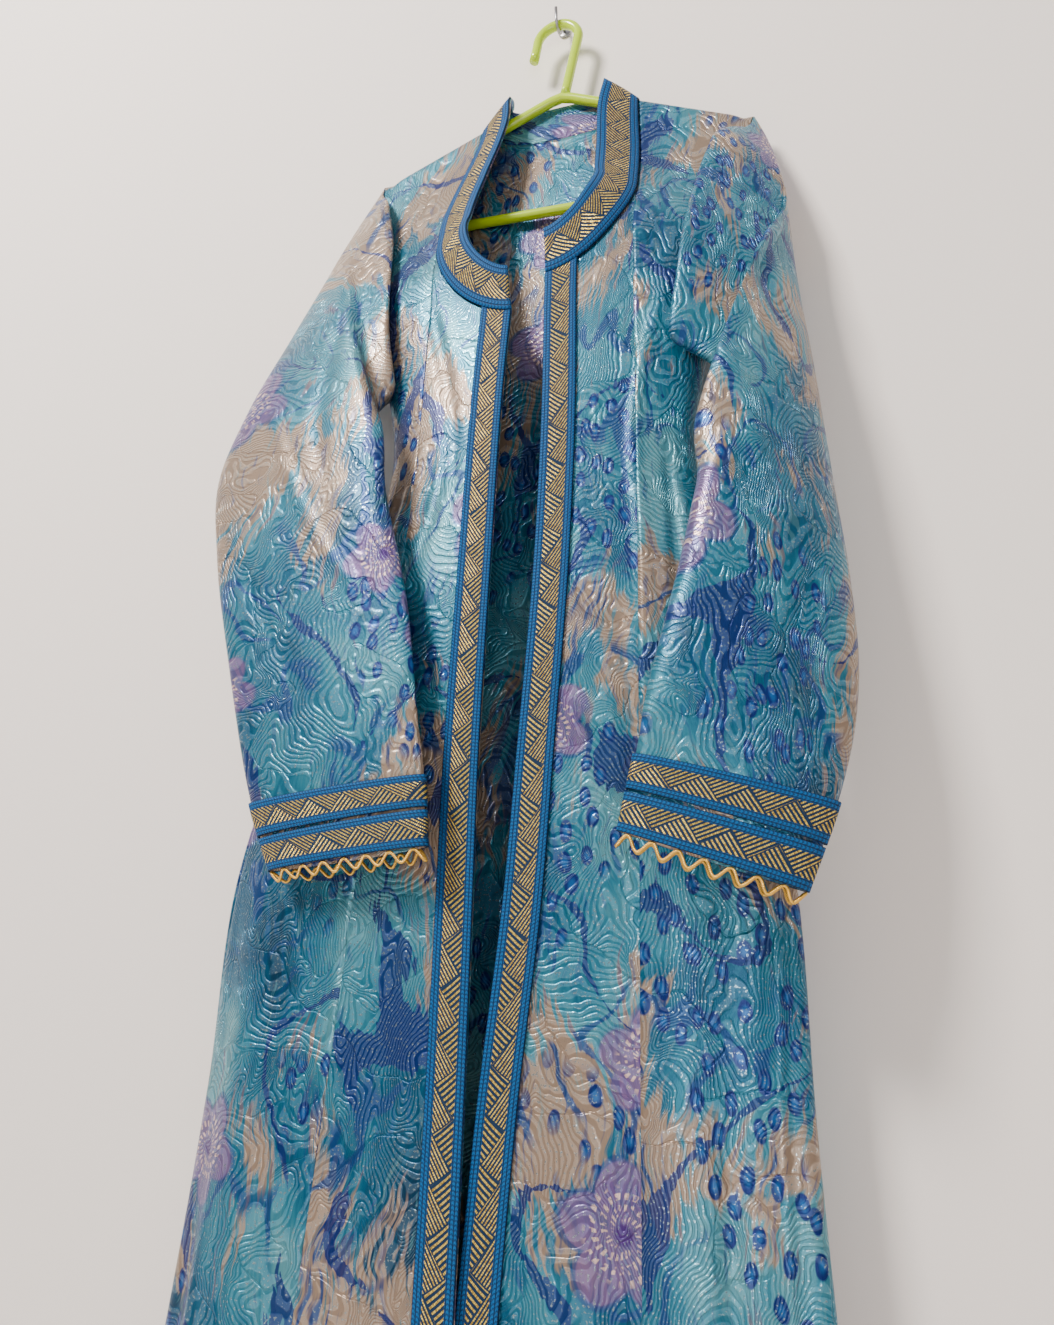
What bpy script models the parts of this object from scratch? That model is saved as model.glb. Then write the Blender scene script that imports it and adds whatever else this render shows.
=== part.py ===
"""A long open-front kaftan hanging on a tubular hanger from a wall hook.

Metres, +Z up. The wall is the plane y = 0, the kaftan hangs on its -Y side, and +X is the
viewer's right. The origin is the centre of the wall hook's flange, on the wall.
Each cut piece is a thin closed wall made from one shared surface of the hanging garment.
"""
import bmesh
import bpy
import math
import numpy as np

# Walls and gaps
CLOTH = 0.0012
BRAID = 0.0016
SEAM_GAP = 0.0003
PROUD = 0.0004

# Hanger
ROD_R = 0.0047
HANGER_Y = -0.022
HANGER_X = 0.006
HANGER_TILT = math.radians(-2.0)
HOOK_TOP_Z = -0.015
HOOK_R = 0.021
HOOK_TIP = (-0.024, -0.055)
SHANK_FOOT = (0.009, -0.108)
ARM_Z = -0.108
ARM_SLOPE = 0.458
ARM_REACH = 0.174
BAR_Z = -0.243
ROD_SIDES = 10

# Wall hook
WIRE_R = 0.0015
FLANGE_R = 0.006
FLANGE_T = 0.002
SADDLE_R = 0.0085

# Kaftan
COVER_R = ROD_R + CLOTH + 0.0007
UNDERARM_Z = -0.440
HEM_Z = -1.530
ARMHOLE_TOP_Z = -0.185
ARMHOLE_SPREAD = math.radians(30.0)
SHOULDER_SEAM = -60.0
SHOULDER_GAP = 6.0
NECK_X = 0.075
BACK_NECK_Z = -0.153
BRAID_W = 0.027
COLLAR_H = 0.039
ROUNDNESS = 2.2
SHOULDER_DEPTH = 0.20

# Way along the cloth for one radian of turn at the body's sides, for the gap at a side seam
SIDE_PER_TURN = 0.12

# Outline of the hanging body: height, left side, right side, front and back depth
BODY = (
    (-0.10, -0.200, 0.212, -0.058, -0.012),
    (-0.19, -0.196, 0.208, -0.062, -0.012),
    (-0.26, -0.174, 0.186, -0.070, -0.012),
    (-0.32, -0.163, 0.174, -0.076, -0.012),
    (-0.38, -0.153, 0.163, -0.080, -0.012),
    (-0.44, -0.134, 0.143, -0.082, -0.012),
    (-0.51, -0.124, 0.131, -0.082, -0.011),
    (-0.60, -0.146, 0.147, -0.081, -0.011),
    (-0.70, -0.186, 0.170, -0.081, -0.010),
    (-0.85, -0.226, 0.191, -0.084, -0.010),
    (-1.00, -0.228, 0.194, -0.088, -0.010),
    (-1.12, -0.233, 0.200, -0.092, -0.010),
    (-1.30, -0.246, 0.216, -0.098, -0.010),
    (-1.53, -0.264, 0.238, -0.108, -0.010),
)
# Front edges: height, left opening edge, right opening edge, left seam, right seam
FRONT = (
    (-0.26, -0.0100, 0.0140, -0.0925, 0.0860),
    (-0.36, -0.0115, 0.0150, -0.0885, 0.0880),
    (-0.48, -0.0160, 0.0175, -0.0905, 0.0900),
    (-0.62, -0.0185, 0.0155, -0.0960, 0.0925),
    (-0.76, -0.0195, 0.0090, -0.1030, 0.0940),
    (-0.87, -0.0170, 0.0040, -0.1090, 0.0955),
    (-1.00, -0.0140, -0.0080, -0.1150, 0.0970),
    (-1.12, -0.0120, -0.0140, -0.1210, 0.0990),
    (-1.53, -0.0080, -0.0170, -0.1400, 0.1080),
)
# Neck seam down the sides: height, left, right
NECK_SIDE = (
    (-0.13, -0.069, 0.081),
    (-0.15, -0.071, 0.0815),
    (-0.18, -0.079, 0.083),
    (-0.21, -0.087, 0.085),
    (-0.26, -0.0935, 0.0865),
    (-0.30, -0.0905, 0.0860),
)
# Where the neck seam leaves the side seam line, and its lowest height at the front edge
NECK_TURN_Z = {-1: -0.300, 1: -0.268}
NECK_END_Z = {-1: -0.392, 1: -0.360}
NECK_CURVE = 1.7
FRONT_PLACE = 0.30
ARM_PLACE = 0.70
BACK_PLACE = 0.78
# Soft folds: side, share of the way round from the front, width share, depth, top, bottom
FOLDS = (
    (1, 0.30, 0.10, 0.006, -0.52, -2.2),
    (1, 0.47, 0.09, -0.007, -0.70, -2.2),
    (1, 0.66, 0.13, 0.009, -0.66, -2.4),
    (1, 0.86, 0.12, -0.006, -0.55, -2.4),
    (-1, 0.27, 0.10, -0.006, -0.60, -2.2),
    (-1, 0.40, 0.08, 0.007, -0.85, -2.2),
    (-1, 0.56, 0.11, -0.010, -0.80, -2.4),
    (-1, 0.74, 0.12, 0.008, -0.66, -2.4),
    (-1, 0.89, 0.10, 0.006, -0.50, -2.4),
)
# The right front laps over the left one near the hem
LAP_DEPTH = 0.0062
LAP_TOP_Z = -0.86
LAP_FULL_Z = -1.04
LAP_SHARE = 0.42

# Sleeves: way along, outer edge x y z, inner edge x y z, half thickness
SLEEVE = {
    -1: (
        (0.00, -0.182, -0.022, -0.192, -0.141, -0.047, -0.441, 0.018),
        (0.10, -0.201, -0.028, -0.235, -0.142, -0.066, -0.462, 0.021),
        (0.20, -0.219, -0.036, -0.290, -0.136, -0.082, -0.487, 0.022),
        (0.32, -0.242, -0.048, -0.360, -0.115, -0.094, -0.532, 0.020),
        (0.45, -0.269, -0.061, -0.440, -0.091, -0.100, -0.600, 0.017),
        (0.55, -0.284, -0.068, -0.510, -0.077, -0.102, -0.648, 0.014),
        (0.66, -0.268, -0.076, -0.590, -0.067, -0.104, -0.695, 0.012),
        (0.78, -0.238, -0.085, -0.680, -0.058, -0.106, -0.745, 0.011),
        (0.92, -0.193, -0.094, -0.801, -0.0495, -0.108, -0.785, 0.010),
        (1.00, -0.167, -0.098, -0.850, -0.0440, -0.109, -0.834, 0.010),
    ),
    1: (
        (0.00, 0.194, -0.022, -0.204, 0.150, -0.047, -0.441, 0.018),
        (0.10, 0.204, -0.028, -0.245, 0.153, -0.070, -0.468, 0.025),
        (0.20, 0.209, -0.034, -0.300, 0.152, -0.090, -0.510, 0.028),
        (0.32, 0.214, -0.042, -0.385, 0.146, -0.103, -0.555, 0.029),
        (0.45, 0.223, -0.052, -0.480, 0.137, -0.113, -0.605, 0.028),
        (0.55, 0.230, -0.060, -0.570, 0.129, -0.118, -0.648, 0.026),
        (0.66, 0.237, -0.068, -0.650, 0.119, -0.122, -0.692, 0.022),
        (0.78, 0.238, -0.080, -0.725, 0.108, -0.124, -0.738, 0.018),
        (0.92, 0.221, -0.094, -0.805, 0.1015, -0.124, -0.778, 0.013),
        (1.00, 0.200, -0.100, -0.859, 0.091, -0.122, -0.826, 0.012),
    ),
}
ARMHOLE_BLEND = 0.16
TIP_ARC = math.radians(30.0)
ARMHOLE_GAP = 0.0014
CUFF_TOP = 0.92
PICOT_WAVES = 15
PICOT_DROP = 0.008
PICOT_R = 0.0009
PICOT_STEPS = 8

# Collar: place along the neck seam from the front end round to the middle of the back,
# then the direction the collar rises in at the seam and at its top edge
COLLAR = {
    -1: (
        (0.00, -0.10, -0.25, 1.00, -0.05, -0.15, 1.00),
        (0.14, 0.50, -0.40, 0.80, 0.45, -0.20, 0.85),
        (0.26, 0.80, -0.45, 0.50, 0.85, -0.20, 0.45),
        (0.40, 0.95, -0.50, 0.10, 0.95, -0.20, 0.10),
        (0.54, 0.90, -0.50, 0.20, 0.90, -0.25, 0.15),
        (0.64, 0.70, -0.42, 0.60, 0.70, -0.30, 0.55),
        (0.70, 0.45, -0.20, 0.90, 0.50, -0.15, 0.85),
        (0.75, 0.40, 0.00, 1.00, 0.45, 0.00, 0.95),
        (0.80, 0.34, 0.06, 1.00, 0.38, 0.03, 1.00),
        (0.86, 0.22, 0.05, 1.00, 0.24, 0.03, 1.00),
        (0.93, 0.07, 0.03, 1.00, 0.08, 0.01, 1.00),
        (1.00, 0.00, 0.01, 1.00, 0.00, 0.00, 1.00),
    ),
    1: (
        (0.00, 0.05, -0.25, 1.00, -0.05, -0.15, 1.00),
        (0.14, -0.50, -0.40, 0.80, -0.45, -0.20, 0.85),
        (0.26, -0.80, -0.45, 0.50, -0.85, -0.20, 0.45),
        (0.40, -0.95, -0.50, 0.10, -0.95, -0.20, 0.10),
        (0.54, -0.90, -0.50, 0.20, -0.90, -0.25, 0.15),
        (0.64, -0.70, -0.42, 0.60, -0.70, -0.30, 0.55),
        (0.70, -0.45, -0.20, 0.90, -0.55, -0.15, 0.80),
        (0.75, -0.42, 0.00, 1.00, -0.50, -0.05, 0.90),
        (0.80, -0.36, 0.08, 1.00, -0.45, -0.10, 0.90),
        (0.86, -0.24, 0.12, 1.00, -0.32, -0.20, 0.85),
        (0.93, -0.07, 0.04, 1.00, -0.10, 0.00, 1.00),
        (1.00, 0.00, 0.01, 1.00, 0.00, 0.00, 1.00),
    ),
}
COLLAR_PLACES = (0.0, 0.05, 0.10, 0.15, 0.20, 0.25, 0.30, 0.36, 0.43, 0.50, 0.57, 0.64, 0.70,
                 0.72, 0.74, 0.76, 0.78, 0.82, 0.87, 0.93, 1.0)


def clear_scene():
    for thing in list(bpy.data.objects):
        bpy.data.objects.remove(thing, do_unlink=True)


def finish(name, color, roughness, metallic):
    made = bpy.data.materials.new(name)
    made.use_nodes = True
    shader = made.node_tree.nodes["Principled BSDF"]
    shader.inputs["Base Color"].default_value = (*color, 1.0)
    shader.inputs["Roughness"].default_value = roughness
    shader.inputs["Metallic"].default_value = metallic
    return made


def between(table, column, place, key=0):
    """Smooth value of a table's column at a place of its key column."""
    rows = sorted(table, key=lambda row: row[key])
    keys = np.array([row[key] for row in rows])
    values = np.array([row[column] for row in rows])
    place = min(max(place, keys[0]), keys[-1])
    slopes = np.gradient(values, keys)
    k = int(min(max(np.searchsorted(keys, place) - 1, 0), len(keys) - 2))
    width = keys[k + 1] - keys[k]
    t = (place - keys[k]) / width
    start = (2 * t**3 - 3 * t**2 + 1) * values[k] + (t**3 - 2 * t**2 + t) * width * slopes[k]
    end = (3 * t**2 - 2 * t**3) * values[k + 1] + (t**3 - t**2) * width * slopes[k + 1]
    return float(start + end)


def ease(t):
    t = min(max(t, 0.0), 1.0)
    return t * t * (3.0 - 2.0 * t)


def unit(v):
    return v / max(float(np.linalg.norm(v)), 1e-12)


def arm_line(x):
    """Height and slope of the hanger arm's centre line, before its tilt."""
    side = abs(x - HANGER_X)
    bend_r = (ARM_Z - BAR_Z - ARM_SLOPE * ARM_REACH) / (
        1.0 + math.hypot(1.0, ARM_SLOPE) - ARM_SLOPE)
    bend_x = ARM_REACH - bend_r
    join = bend_x + bend_r * ARM_SLOPE / math.hypot(1.0, ARM_SLOPE)
    if side <= join:
        return ARM_Z - ARM_SLOPE * side, ARM_SLOPE
    out = min(side - bend_x, 0.93 * bend_r)
    rise = math.sqrt(bend_r**2 - out**2)
    return BAR_Z + bend_r + rise, out / rise


def shoulder(x):
    """Top height of the cloth over the arm and the arm section's upright half size."""
    height, slope = arm_line(x)
    upright = COVER_R * math.hypot(1.0, slope)
    return height + upright + math.tan(HANGER_TILT) * (x - HANGER_X), upright


def ring(side, z, turn):
    """Point of the body's level section; turn is 0 at the front and pi at the back."""
    left, right = between(BODY, 1, z), between(BODY, 2, z)
    middle = 0.5 * (left + right)
    half = 0.5 * (right - left)
    front, back = between(BODY, 3, z), between(BODY, 4, z)
    swing, reach = math.sin(turn), math.cos(turn)
    x = middle + side * half * math.copysign(abs(swing) ** (2.0 / ROUNDNESS), swing)
    depth = 0.5 * (front + back)
    y = depth + math.copysign(abs(reach) ** (2.0 / ROUNDNESS), reach) * 0.5 * (front - back)
    top, upright = shoulder(x)
    drop = top - z
    if drop < SHOULDER_DEPTH:
        drop = max(drop, 0.0)
        hug = COVER_R * math.sqrt(max(0.0, 1.0 - (1.0 - min(drop / upright, 1.0)) ** 2))
        away = -1.0 if y < HANGER_Y else 1.0
        if turn > 0.5 * math.pi:
            away = 1.0
        elif turn < 0.5 * math.pi:
            away = -1.0
        full = max(away * (y - HANGER_Y), COVER_R if drop >= upright else hug)
        y = HANGER_Y + away * (hug + (full - min(hug, full)) * ease(drop / SHOULDER_DEPTH))
    return np.array([x, y, z])


def turn_at(z, x, side):
    """Angle round the level section at which it has the given x, on the front half."""
    left, right = between(BODY, 1, z), between(BODY, 2, z)
    middle = 0.5 * (left + right)
    share = side * (x - middle) / (0.5 * (right - left))
    share = min(max(share, -1.0), 1.0)
    lift = math.copysign(abs(share) ** (ROUNDNESS / 2.0), share)
    return math.asin(min(max(lift, -1.0), 1.0))


def armhole_turn(z):
    """Angle of the armhole edge at a height; a right angle from the underarm down."""
    t = min(max((ARMHOLE_TOP_Z - z) / (ARMHOLE_TOP_Z - UNDERARM_Z), 0.0), 1.0)
    return 0.5 * math.pi - ARMHOLE_SPREAD * math.sqrt(1.0 - t**4)


def fold_depth(side, share, z):
    depth = 0.0
    for row_side, place, width, deep, top, bottom in FOLDS:
        if row_side != side:
            continue
        near = abs(share - place) / width
        if near < 1.0 and z < top:
            depth += deep * math.cos(0.5 * math.pi * near) ** 2 * ease((top - z) / 0.45)
    if side > 0:
        lap = ease((LAP_TOP_Z - z) / (LAP_TOP_Z - LAP_FULL_Z))
        depth += LAP_DEPTH * lap * ease((LAP_SHARE - share) / LAP_SHARE)
    return depth


def outward(surface, a, b, step_a=0.01, step_b=0.004):
    """Unit normal of a surface(a, b), found from two short differences."""
    along = surface(a + step_a, b) - surface(a - step_a, b)
    down = surface(a, b + step_b) - surface(a, b - step_b)
    return unit(np.cross(along, down))


def body_point(side, z, turn):
    """Point on the outer face of the hanging body, with its folds."""
    base = ring(side, z, turn)
    deep = fold_depth(side, turn / math.pi, z)
    if abs(deep) < 1e-7:
        return base
    normal = outward(lambda t, h: ring(side, h, t), turn, z)
    return base - normal * side * deep


def body_normal(side, z, turn):
    normal = outward(lambda t, h: body_point(side, h, t), turn, z)
    return normal * side


def sheet_solid(name, outer, normals, thickness, material, closed=False):
    """Closed thin wall between a grid of points and the same grid moved inwards."""
    rows, cols = len(outer), len(outer[0])
    outer = np.array(outer)
    inner = outer - np.array(normals) * thickness
    mesh = bmesh.new()
    top = [[mesh.verts.new(outer[r, c]) for c in range(cols)] for r in range(rows)]
    low = [[mesh.verts.new(inner[r, c]) for c in range(cols)] for r in range(rows)]
    spans = cols if closed else cols - 1
    for r in range(rows - 1):
        for c in range(spans):
            d = (c + 1) % cols
            mesh.faces.new((top[r][c], top[r + 1][c], top[r + 1][d], top[r][d]))
            mesh.faces.new((low[r][c], low[r][d], low[r + 1][d], low[r + 1][c]))
    for c in range(spans):
        d = (c + 1) % cols
        mesh.faces.new((top[0][c], top[0][d], low[0][d], low[0][c]))
        mesh.faces.new((top[-1][c], low[-1][c], low[-1][d], top[-1][d]))
    if not closed:
        for r in range(rows - 1):
            mesh.faces.new((top[r][0], low[r][0], low[r + 1][0], top[r + 1][0]))
            mesh.faces.new((top[r][-1], top[r + 1][-1], low[r + 1][-1], low[r][-1]))
    return mesh_object(name, mesh, material)


def mesh_object(name, mesh, material):
    bmesh.ops.triangulate(mesh, faces=mesh.faces[:])
    bmesh.ops.recalc_face_normals(mesh, faces=mesh.faces[:])
    if mesh.calc_volume(signed=True) < 0.0:
        bmesh.ops.reverse_faces(mesh, faces=mesh.faces[:])
    data = bpy.data.meshes.new(name)
    mesh.to_mesh(data)
    mesh.free()
    data.shade_smooth()
    data.set_sharp_from_angle(angle=math.radians(50.0))
    data.materials.append(material)
    made = bpy.data.objects.new(name, data)
    bpy.context.scene.collection.objects.link(made)
    return made


def tube_mesh(path, radius, sides, closed=False):
    """Round tube along a list of points, with a frame carried from point to point."""
    path = [np.array(p, dtype=float) for p in path]
    count = len(path)
    mesh = bmesh.new()
    rings = []
    across = None
    for k, point in enumerate(path):
        before = path[k - 1] if closed or k else path[0]
        after = path[(k + 1) % count] if closed or k < count - 1 else path[-1]
        ahead = unit(after - before)
        if across is None:
            helper = np.array([0.0, 1.0, 0.0]) if abs(ahead[1]) < 0.9 else np.array([1.0, 0, 0])
            across = unit(np.cross(ahead, helper))
        across = unit(across - ahead * float(across @ ahead))
        other = np.cross(ahead, across)
        spin = [2.0 * math.pi * s / sides for s in range(sides)]
        rings.append([mesh.verts.new(point + radius * (math.cos(a) * across + math.sin(a) * other))
                      for a in spin])
    spans = count if closed else count - 1
    for k in range(spans):
        here, there = rings[k], rings[(k + 1) % count]
        for s in range(sides):
            t = (s + 1) % sides
            mesh.faces.new((here[s], here[t], there[t], there[s]))
    if not closed:
        mesh.faces.new(list(reversed(rings[0])))
        mesh.faces.new(rings[-1])
    return mesh


def seam_trim(side, z, turn_from, turn_to):
    """Angles that leave half a seam gap inside both edges of a panel."""
    start, stop = body_point(side, z, turn_from), body_point(side, z, turn_to)
    span = max(float(np.linalg.norm(stop - start)), 1e-4)
    nudge = 0.5 * SEAM_GAP / span * (turn_to - turn_from)
    return turn_from + nudge, turn_to - nudge


def over_arm(x_at, angle):
    """Point and normal of the cloth over the hanger arm; angle 0 is the top, 90 the front.

    x_at gives x at a height, so that the place follows the panel's slanting edge.
    """
    a = math.radians(angle)
    z = -0.16
    for _ in range(14):
        x = x_at(z)
        top, upright = shoulder(x)
        z = top - upright * (1.0 - math.cos(a))
    lean = (shoulder(x - 0.001)[0] - shoulder(x + 0.001)[0]) / 0.002
    up = unit(np.array([lean, 0.0, 1.0]))
    normal = np.array([0.0, -math.sin(a), 0.0]) + up * math.cos(a)
    return np.array([x, HANGER_Y - COVER_R * math.sin(a), z]), unit(normal)


ARM_ANGLES = (-30.0, 0.0, 30.0, 60.0, 90.0)
DOWN_STEPS = (0.05, 0.12, 0.20, 0.30, 0.41, 0.53, 0.65, 0.76, 0.85, 0.92, 0.97, 1.0)
LEVELS = [-0.50, -0.56, -0.62, -0.69, -0.76, -0.83, -0.90, -0.97, -1.04, -1.11, -1.18,
          -1.25, -1.32, -1.39, -1.46, HEM_Z]


def neck_edge_x(side, z):
    return between(NECK_SIDE, 1 if side < 0 else 2, z)


def seam_x(side, z):
    """The panel seam, and above it the neck seam that it runs into."""
    if z > NECK_TURN_Z[side]:
        return neck_edge_x(side, z)
    low = between(FRONT, 3 if side < 0 else 4, z)
    meet = neck_edge_x(side, NECK_TURN_Z[side])
    blend = ease((NECK_TURN_Z[side] - z) / 0.10)
    return meet + (low - meet) * blend


def opening_x(side, z):
    return between(FRONT, 1 if side < 0 else 2, z)


def front_neck_z(side, x):
    """Height of the neck seam across the front, from the panel seam to the front edge."""
    turn_z, end_z = NECK_TURN_Z[side], NECK_END_Z[side]
    far, near = seam_x(side, turn_z), opening_x(side, end_z)
    u = min(max((x - near) / (far - near), 0.0), 1.0)
    return turn_z + (end_z - turn_z) * (1.0 - u**NECK_CURVE) ** (1.0 / NECK_CURVE)


def front_centre_grid(side, columns):
    """Outer points and normals of a centre front, from the front edge to the panel seam."""
    shares = [math.sin(0.5 * math.pi * c / columns) for c in range(columns + 1)]
    ups = [0.0, 0.2, 0.4, 0.6, 0.8, 1.0]
    heights = []
    for share in shares:
        top = NECK_TURN_Z[side]
        for _ in range(12):
            start = turn_at(top, opening_x(side, top), side)
            stop = turn_at(top, seam_x(side, top), side)
            top = front_neck_z(side, ring(side, top, start + (stop - start) * share)[0])
        heights.append([top + (UNDERARM_Z - top) * u for u in ups] + LEVELS)
    return panel_grid(side, heights, shares, opening_x, seam_x)


def panel_grid(side, heights, shares, from_x, to_x):
    """Points and normals of a front panel; with no to_x it ends at the armhole and side."""
    points, normals = [], []
    for r in range(len(heights[0])):
        row, row_normals = [], []
        for c, share in enumerate(shares):
            z = heights[c][r]
            start = turn_at(z, from_x(side, z), side)
            stop = armhole_turn(z) if to_x is None else turn_at(z, to_x(side, z), side)
            start, stop = seam_trim(side, z, start, stop)
            turn = start + (stop - start) * share
            row.append(body_point(side, z, turn))
            row_normals.append(body_normal(side, z, turn))
        points.append(row)
        normals.append(row_normals)
    return points, normals


def front_side_grid(side, columns):
    """Outer points of a side front: over the hanger arm, then down to the hem."""
    shares = [c / columns for c in range(columns + 1)]
    covers = [[] for _ in range(len(ARM_ANGLES) + 1)]
    cover_normals = [[] for _ in covers]
    heights = []
    for share in shares:

        def x_at(z):
            start = turn_at(z, seam_x(side, z), side)
            return ring(side, z, start + (armhole_turn(z) - start) * share)[0]

        for row, angle in enumerate((SHOULDER_SEAM + SHOULDER_GAP,) + ARM_ANGLES):
            point, normal = over_arm(x_at, angle)
            covers[row].append(point)
            cover_normals[row].append(normal)
        start_z = covers[-1][-1][2]
        heights.append([start_z + (UNDERARM_Z - start_z) * t for t in DOWN_STEPS] + LEVELS)
    points, normals = panel_grid(side, heights, shares, seam_x, None)
    return covers + points, cover_normals + normals


def back_top(x):
    """Height of the back's top edge: the shoulder seam, or the shallow back neck."""
    seam = 1.0 - math.cos(math.radians(SHOULDER_SEAM))
    height, upright = shoulder(x)
    near = abs(x - HANGER_X) / NECK_X
    if near >= 1.0:
        return height - upright * seam
    edge, upright = shoulder(HANGER_X + (-1 if x < HANGER_X else 1) * NECK_X)
    edge -= upright * seam
    return BACK_NECK_Z + (edge - BACK_NECK_Z) * near**3.0


def back_grid(columns):
    """Outer points of the back, from the right side seam round to the left one."""
    points = [[] for _ in range(3 + len(DOWN_STEPS) + len(LEVELS))]
    normals = [[] for _ in points]
    for c in range(columns + 1):
        share = c / columns
        side = 1 if share <= 0.5 else -1
        out = abs(1.0 - 2.0 * share)

        def turn_for(z):
            return math.pi - (armhole_turn(z) - 0.5 * SEAM_GAP / SIDE_PER_TURN) * out

        z = -0.17
        for _ in range(14):
            z = back_top(ring(side, z, turn_for(z))[0])
        heights = [z, z - 0.0035, z - 0.010]
        start_z = heights[-1]
        heights += [start_z + (UNDERARM_Z - start_z) * t for t in DOWN_STEPS] + LEVELS
        for r, height in enumerate(heights):
            turn = turn_for(height)
            points[r].append(body_point(side, height, turn))
            normals[r].append(body_normal(side, height, turn))
    return points, normals


def armhole_point(side, angle):
    """Point of the armhole edge; angle 0 is the shoulder tip and pi the underarm."""
    angle = (angle + math.pi) % (2.0 * math.pi) - math.pi
    face = -1.0 if angle < 0.0 else 1.0
    edge = np.array([side * ARMHOLE_GAP, 0.0, 0.0])

    def x_at(z):
        return ring(side, z, armhole_turn(z))[0]

    if abs(angle) <= TIP_ARC:
        return over_arm(x_at, face * 90.0 * abs(angle) / TIP_ARC)[0] + edge
    start_z = over_arm(x_at, 90.0)[0][2]
    s = 0.5 * (1.0 - math.cos(math.pi * (abs(angle) - TIP_ARC) / (math.pi - TIP_ARC)))
    z = start_z + (UNDERARM_Z - start_z) * s
    turn = armhole_turn(z)
    return body_point(side, z, turn if face > 0.0 else math.pi - turn) + edge


def sleeve_point(side, along, angle):
    """Point of the sleeve's outer face; angle 0 is its outer edge and pi its inner edge."""
    table = SLEEVE[side]
    values = [between(table, column, along) for column in range(1, 8)]
    outer, inner, half = np.array(values[0:3]), np.array(values[3:6]), values[6]
    reach = 0.5 * (outer - inner)
    front = np.array([0.0, -1.0, 0.0])
    across = unit(reach)
    front = unit(front - across * float(front @ across))
    point = 0.5 * (outer + inner) + reach * math.cos(angle) + front * half * math.sin(angle)
    blend = ease(along / ARMHOLE_BLEND)
    if blend < 1.0:
        point = armhole_point(side, angle) * (1.0 - blend) + point * blend
    return point


def sleeve_normal(side, along, angle):
    def surface(a, u):
        return sleeve_point(side, min(max(u, 0.0), 1.0), a)
    normal = outward(surface, angle, along, 0.05, 0.01)
    return normal * side


def sleeve_grid(side, ways, columns, lift=0.0):
    points, normals = [], []
    for along in ways:
        row, row_normals = [], []
        for c in range(columns):
            angle = 2.0 * math.pi * c / columns
            normal = sleeve_normal(side, along, angle)
            row.append(sleeve_point(side, along, angle) + normal * lift)
            row_normals.append(normal)
        points.append(row)
        normals.append(row_normals)
    return points, normals


def neck_seam(side, place):
    """Neck seam from the front edge (0) over the hanger arm to the middle of the back (1)."""
    turn_z = NECK_TURN_Z[side]
    if place <= FRONT_PLACE:
        far, near = seam_x(side, turn_z), opening_x(side, NECK_END_Z[side])
        x = near + (far - near) * math.sin(0.5 * math.pi * place / FRONT_PLACE)
        z = front_neck_z(side, x)
        return body_point(side, z, turn_at(z, x, side))
    neck_x = HANGER_X + side * NECK_X
    if place <= ARM_PLACE:
        low_z = over_arm(lambda z: neck_x, 90.0)[0][2]
        z = turn_z + (low_z - turn_z) * (place - FRONT_PLACE) / (ARM_PLACE - FRONT_PLACE)
        return body_point(side, z, turn_at(z, neck_edge_x(side, z), side))
    if place <= BACK_PLACE:
        share = (place - ARM_PLACE) / (BACK_PLACE - ARM_PLACE)
        return over_arm(lambda z: neck_x, 90.0 + (SHOULDER_SEAM - 90.0) * share)[0]
    share = (place - BACK_PLACE) / (1.0 - BACK_PLACE)
    x = HANGER_X + side * NECK_X * math.cos(0.5 * math.pi * share)
    z = back_top(x)
    return body_point(side, z, math.pi - turn_at(z, x, side))


def collar_point(side, place, rise):
    base = neck_seam(side, place)
    table = COLLAR[side]
    first = unit(np.array([between(table, c, place) for c in (1, 2, 3)]))
    last = unit(np.array([between(table, c, place) for c in (4, 5, 6)]))
    return base + COLLAR_H * (rise * first + 0.5 * rise**2 * (last - first))


def collar_grid(rises, lift=0.0):
    """Rows run up the collar; columns run from the left front end round to the right one."""
    places = [(-1, place) for place in COLLAR_PLACES]
    places += [(1, place) for place in COLLAR_PLACES[-2::-1]]
    rows = np.array([[collar_point(side, place, rise) for side, place in places]
                     for rise in rises])
    normals = np.zeros_like(rows)
    count_r, count_c = rows.shape[:2]
    for r in range(count_r):
        for c in range(count_c):
            up = rows[min(r + 1, count_r - 1), c] - rows[max(r - 1, 0), c]
            on = rows[r, min(c + 1, count_c - 1)] - rows[r, max(c - 1, 0)]
            normals[r, c] = unit(np.cross(up, on))
    return rows + normals * lift, normals


def front_band_grid(side, columns):
    """Braid along a front edge, its points taken from the panel's own and moved out."""
    end_z = NECK_END_Z[side]
    ups = [0.0, 0.25, 0.5, 0.75, 1.0]
    shares = [c / columns for c in range(columns + 1)]
    points, normals = [], []
    heights = []
    for share in shares:
        x = opening_x(side, end_z) + side * BRAID_W * share
        top = front_neck_z(side, x) - 0.0012
        heights.append([top + (UNDERARM_Z - top) * u for u in ups] + LEVELS)
    for r in range(len(heights[0])):
        row, row_normals = [], []
        for c, share in enumerate(shares):
            z = heights[c][r]
            x = opening_x(side, z) + side * (BRAID_W * share)
            turn = turn_at(z, x, side)
            normal = body_normal(side, z, turn)
            row.append(body_point(side, z, turn) + normal * (PROUD + BRAID))
            row_normals.append(normal)
        points.append(row)
        normals.append(row_normals)
    return points, normals


def cuff_angles(side, count):
    """Angles round the cuff's edge that lie an equal way apart along it."""
    fine = [2.0 * math.pi * k / 360 for k in range(361)]
    edge = np.array([sleeve_point(side, 1.0, a) for a in fine])
    way = np.concatenate(([0.0], np.cumsum(np.linalg.norm(np.diff(edge, axis=0), axis=1))))
    return np.interp(np.arange(count) * way[-1] / count, way, fine)


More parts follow.
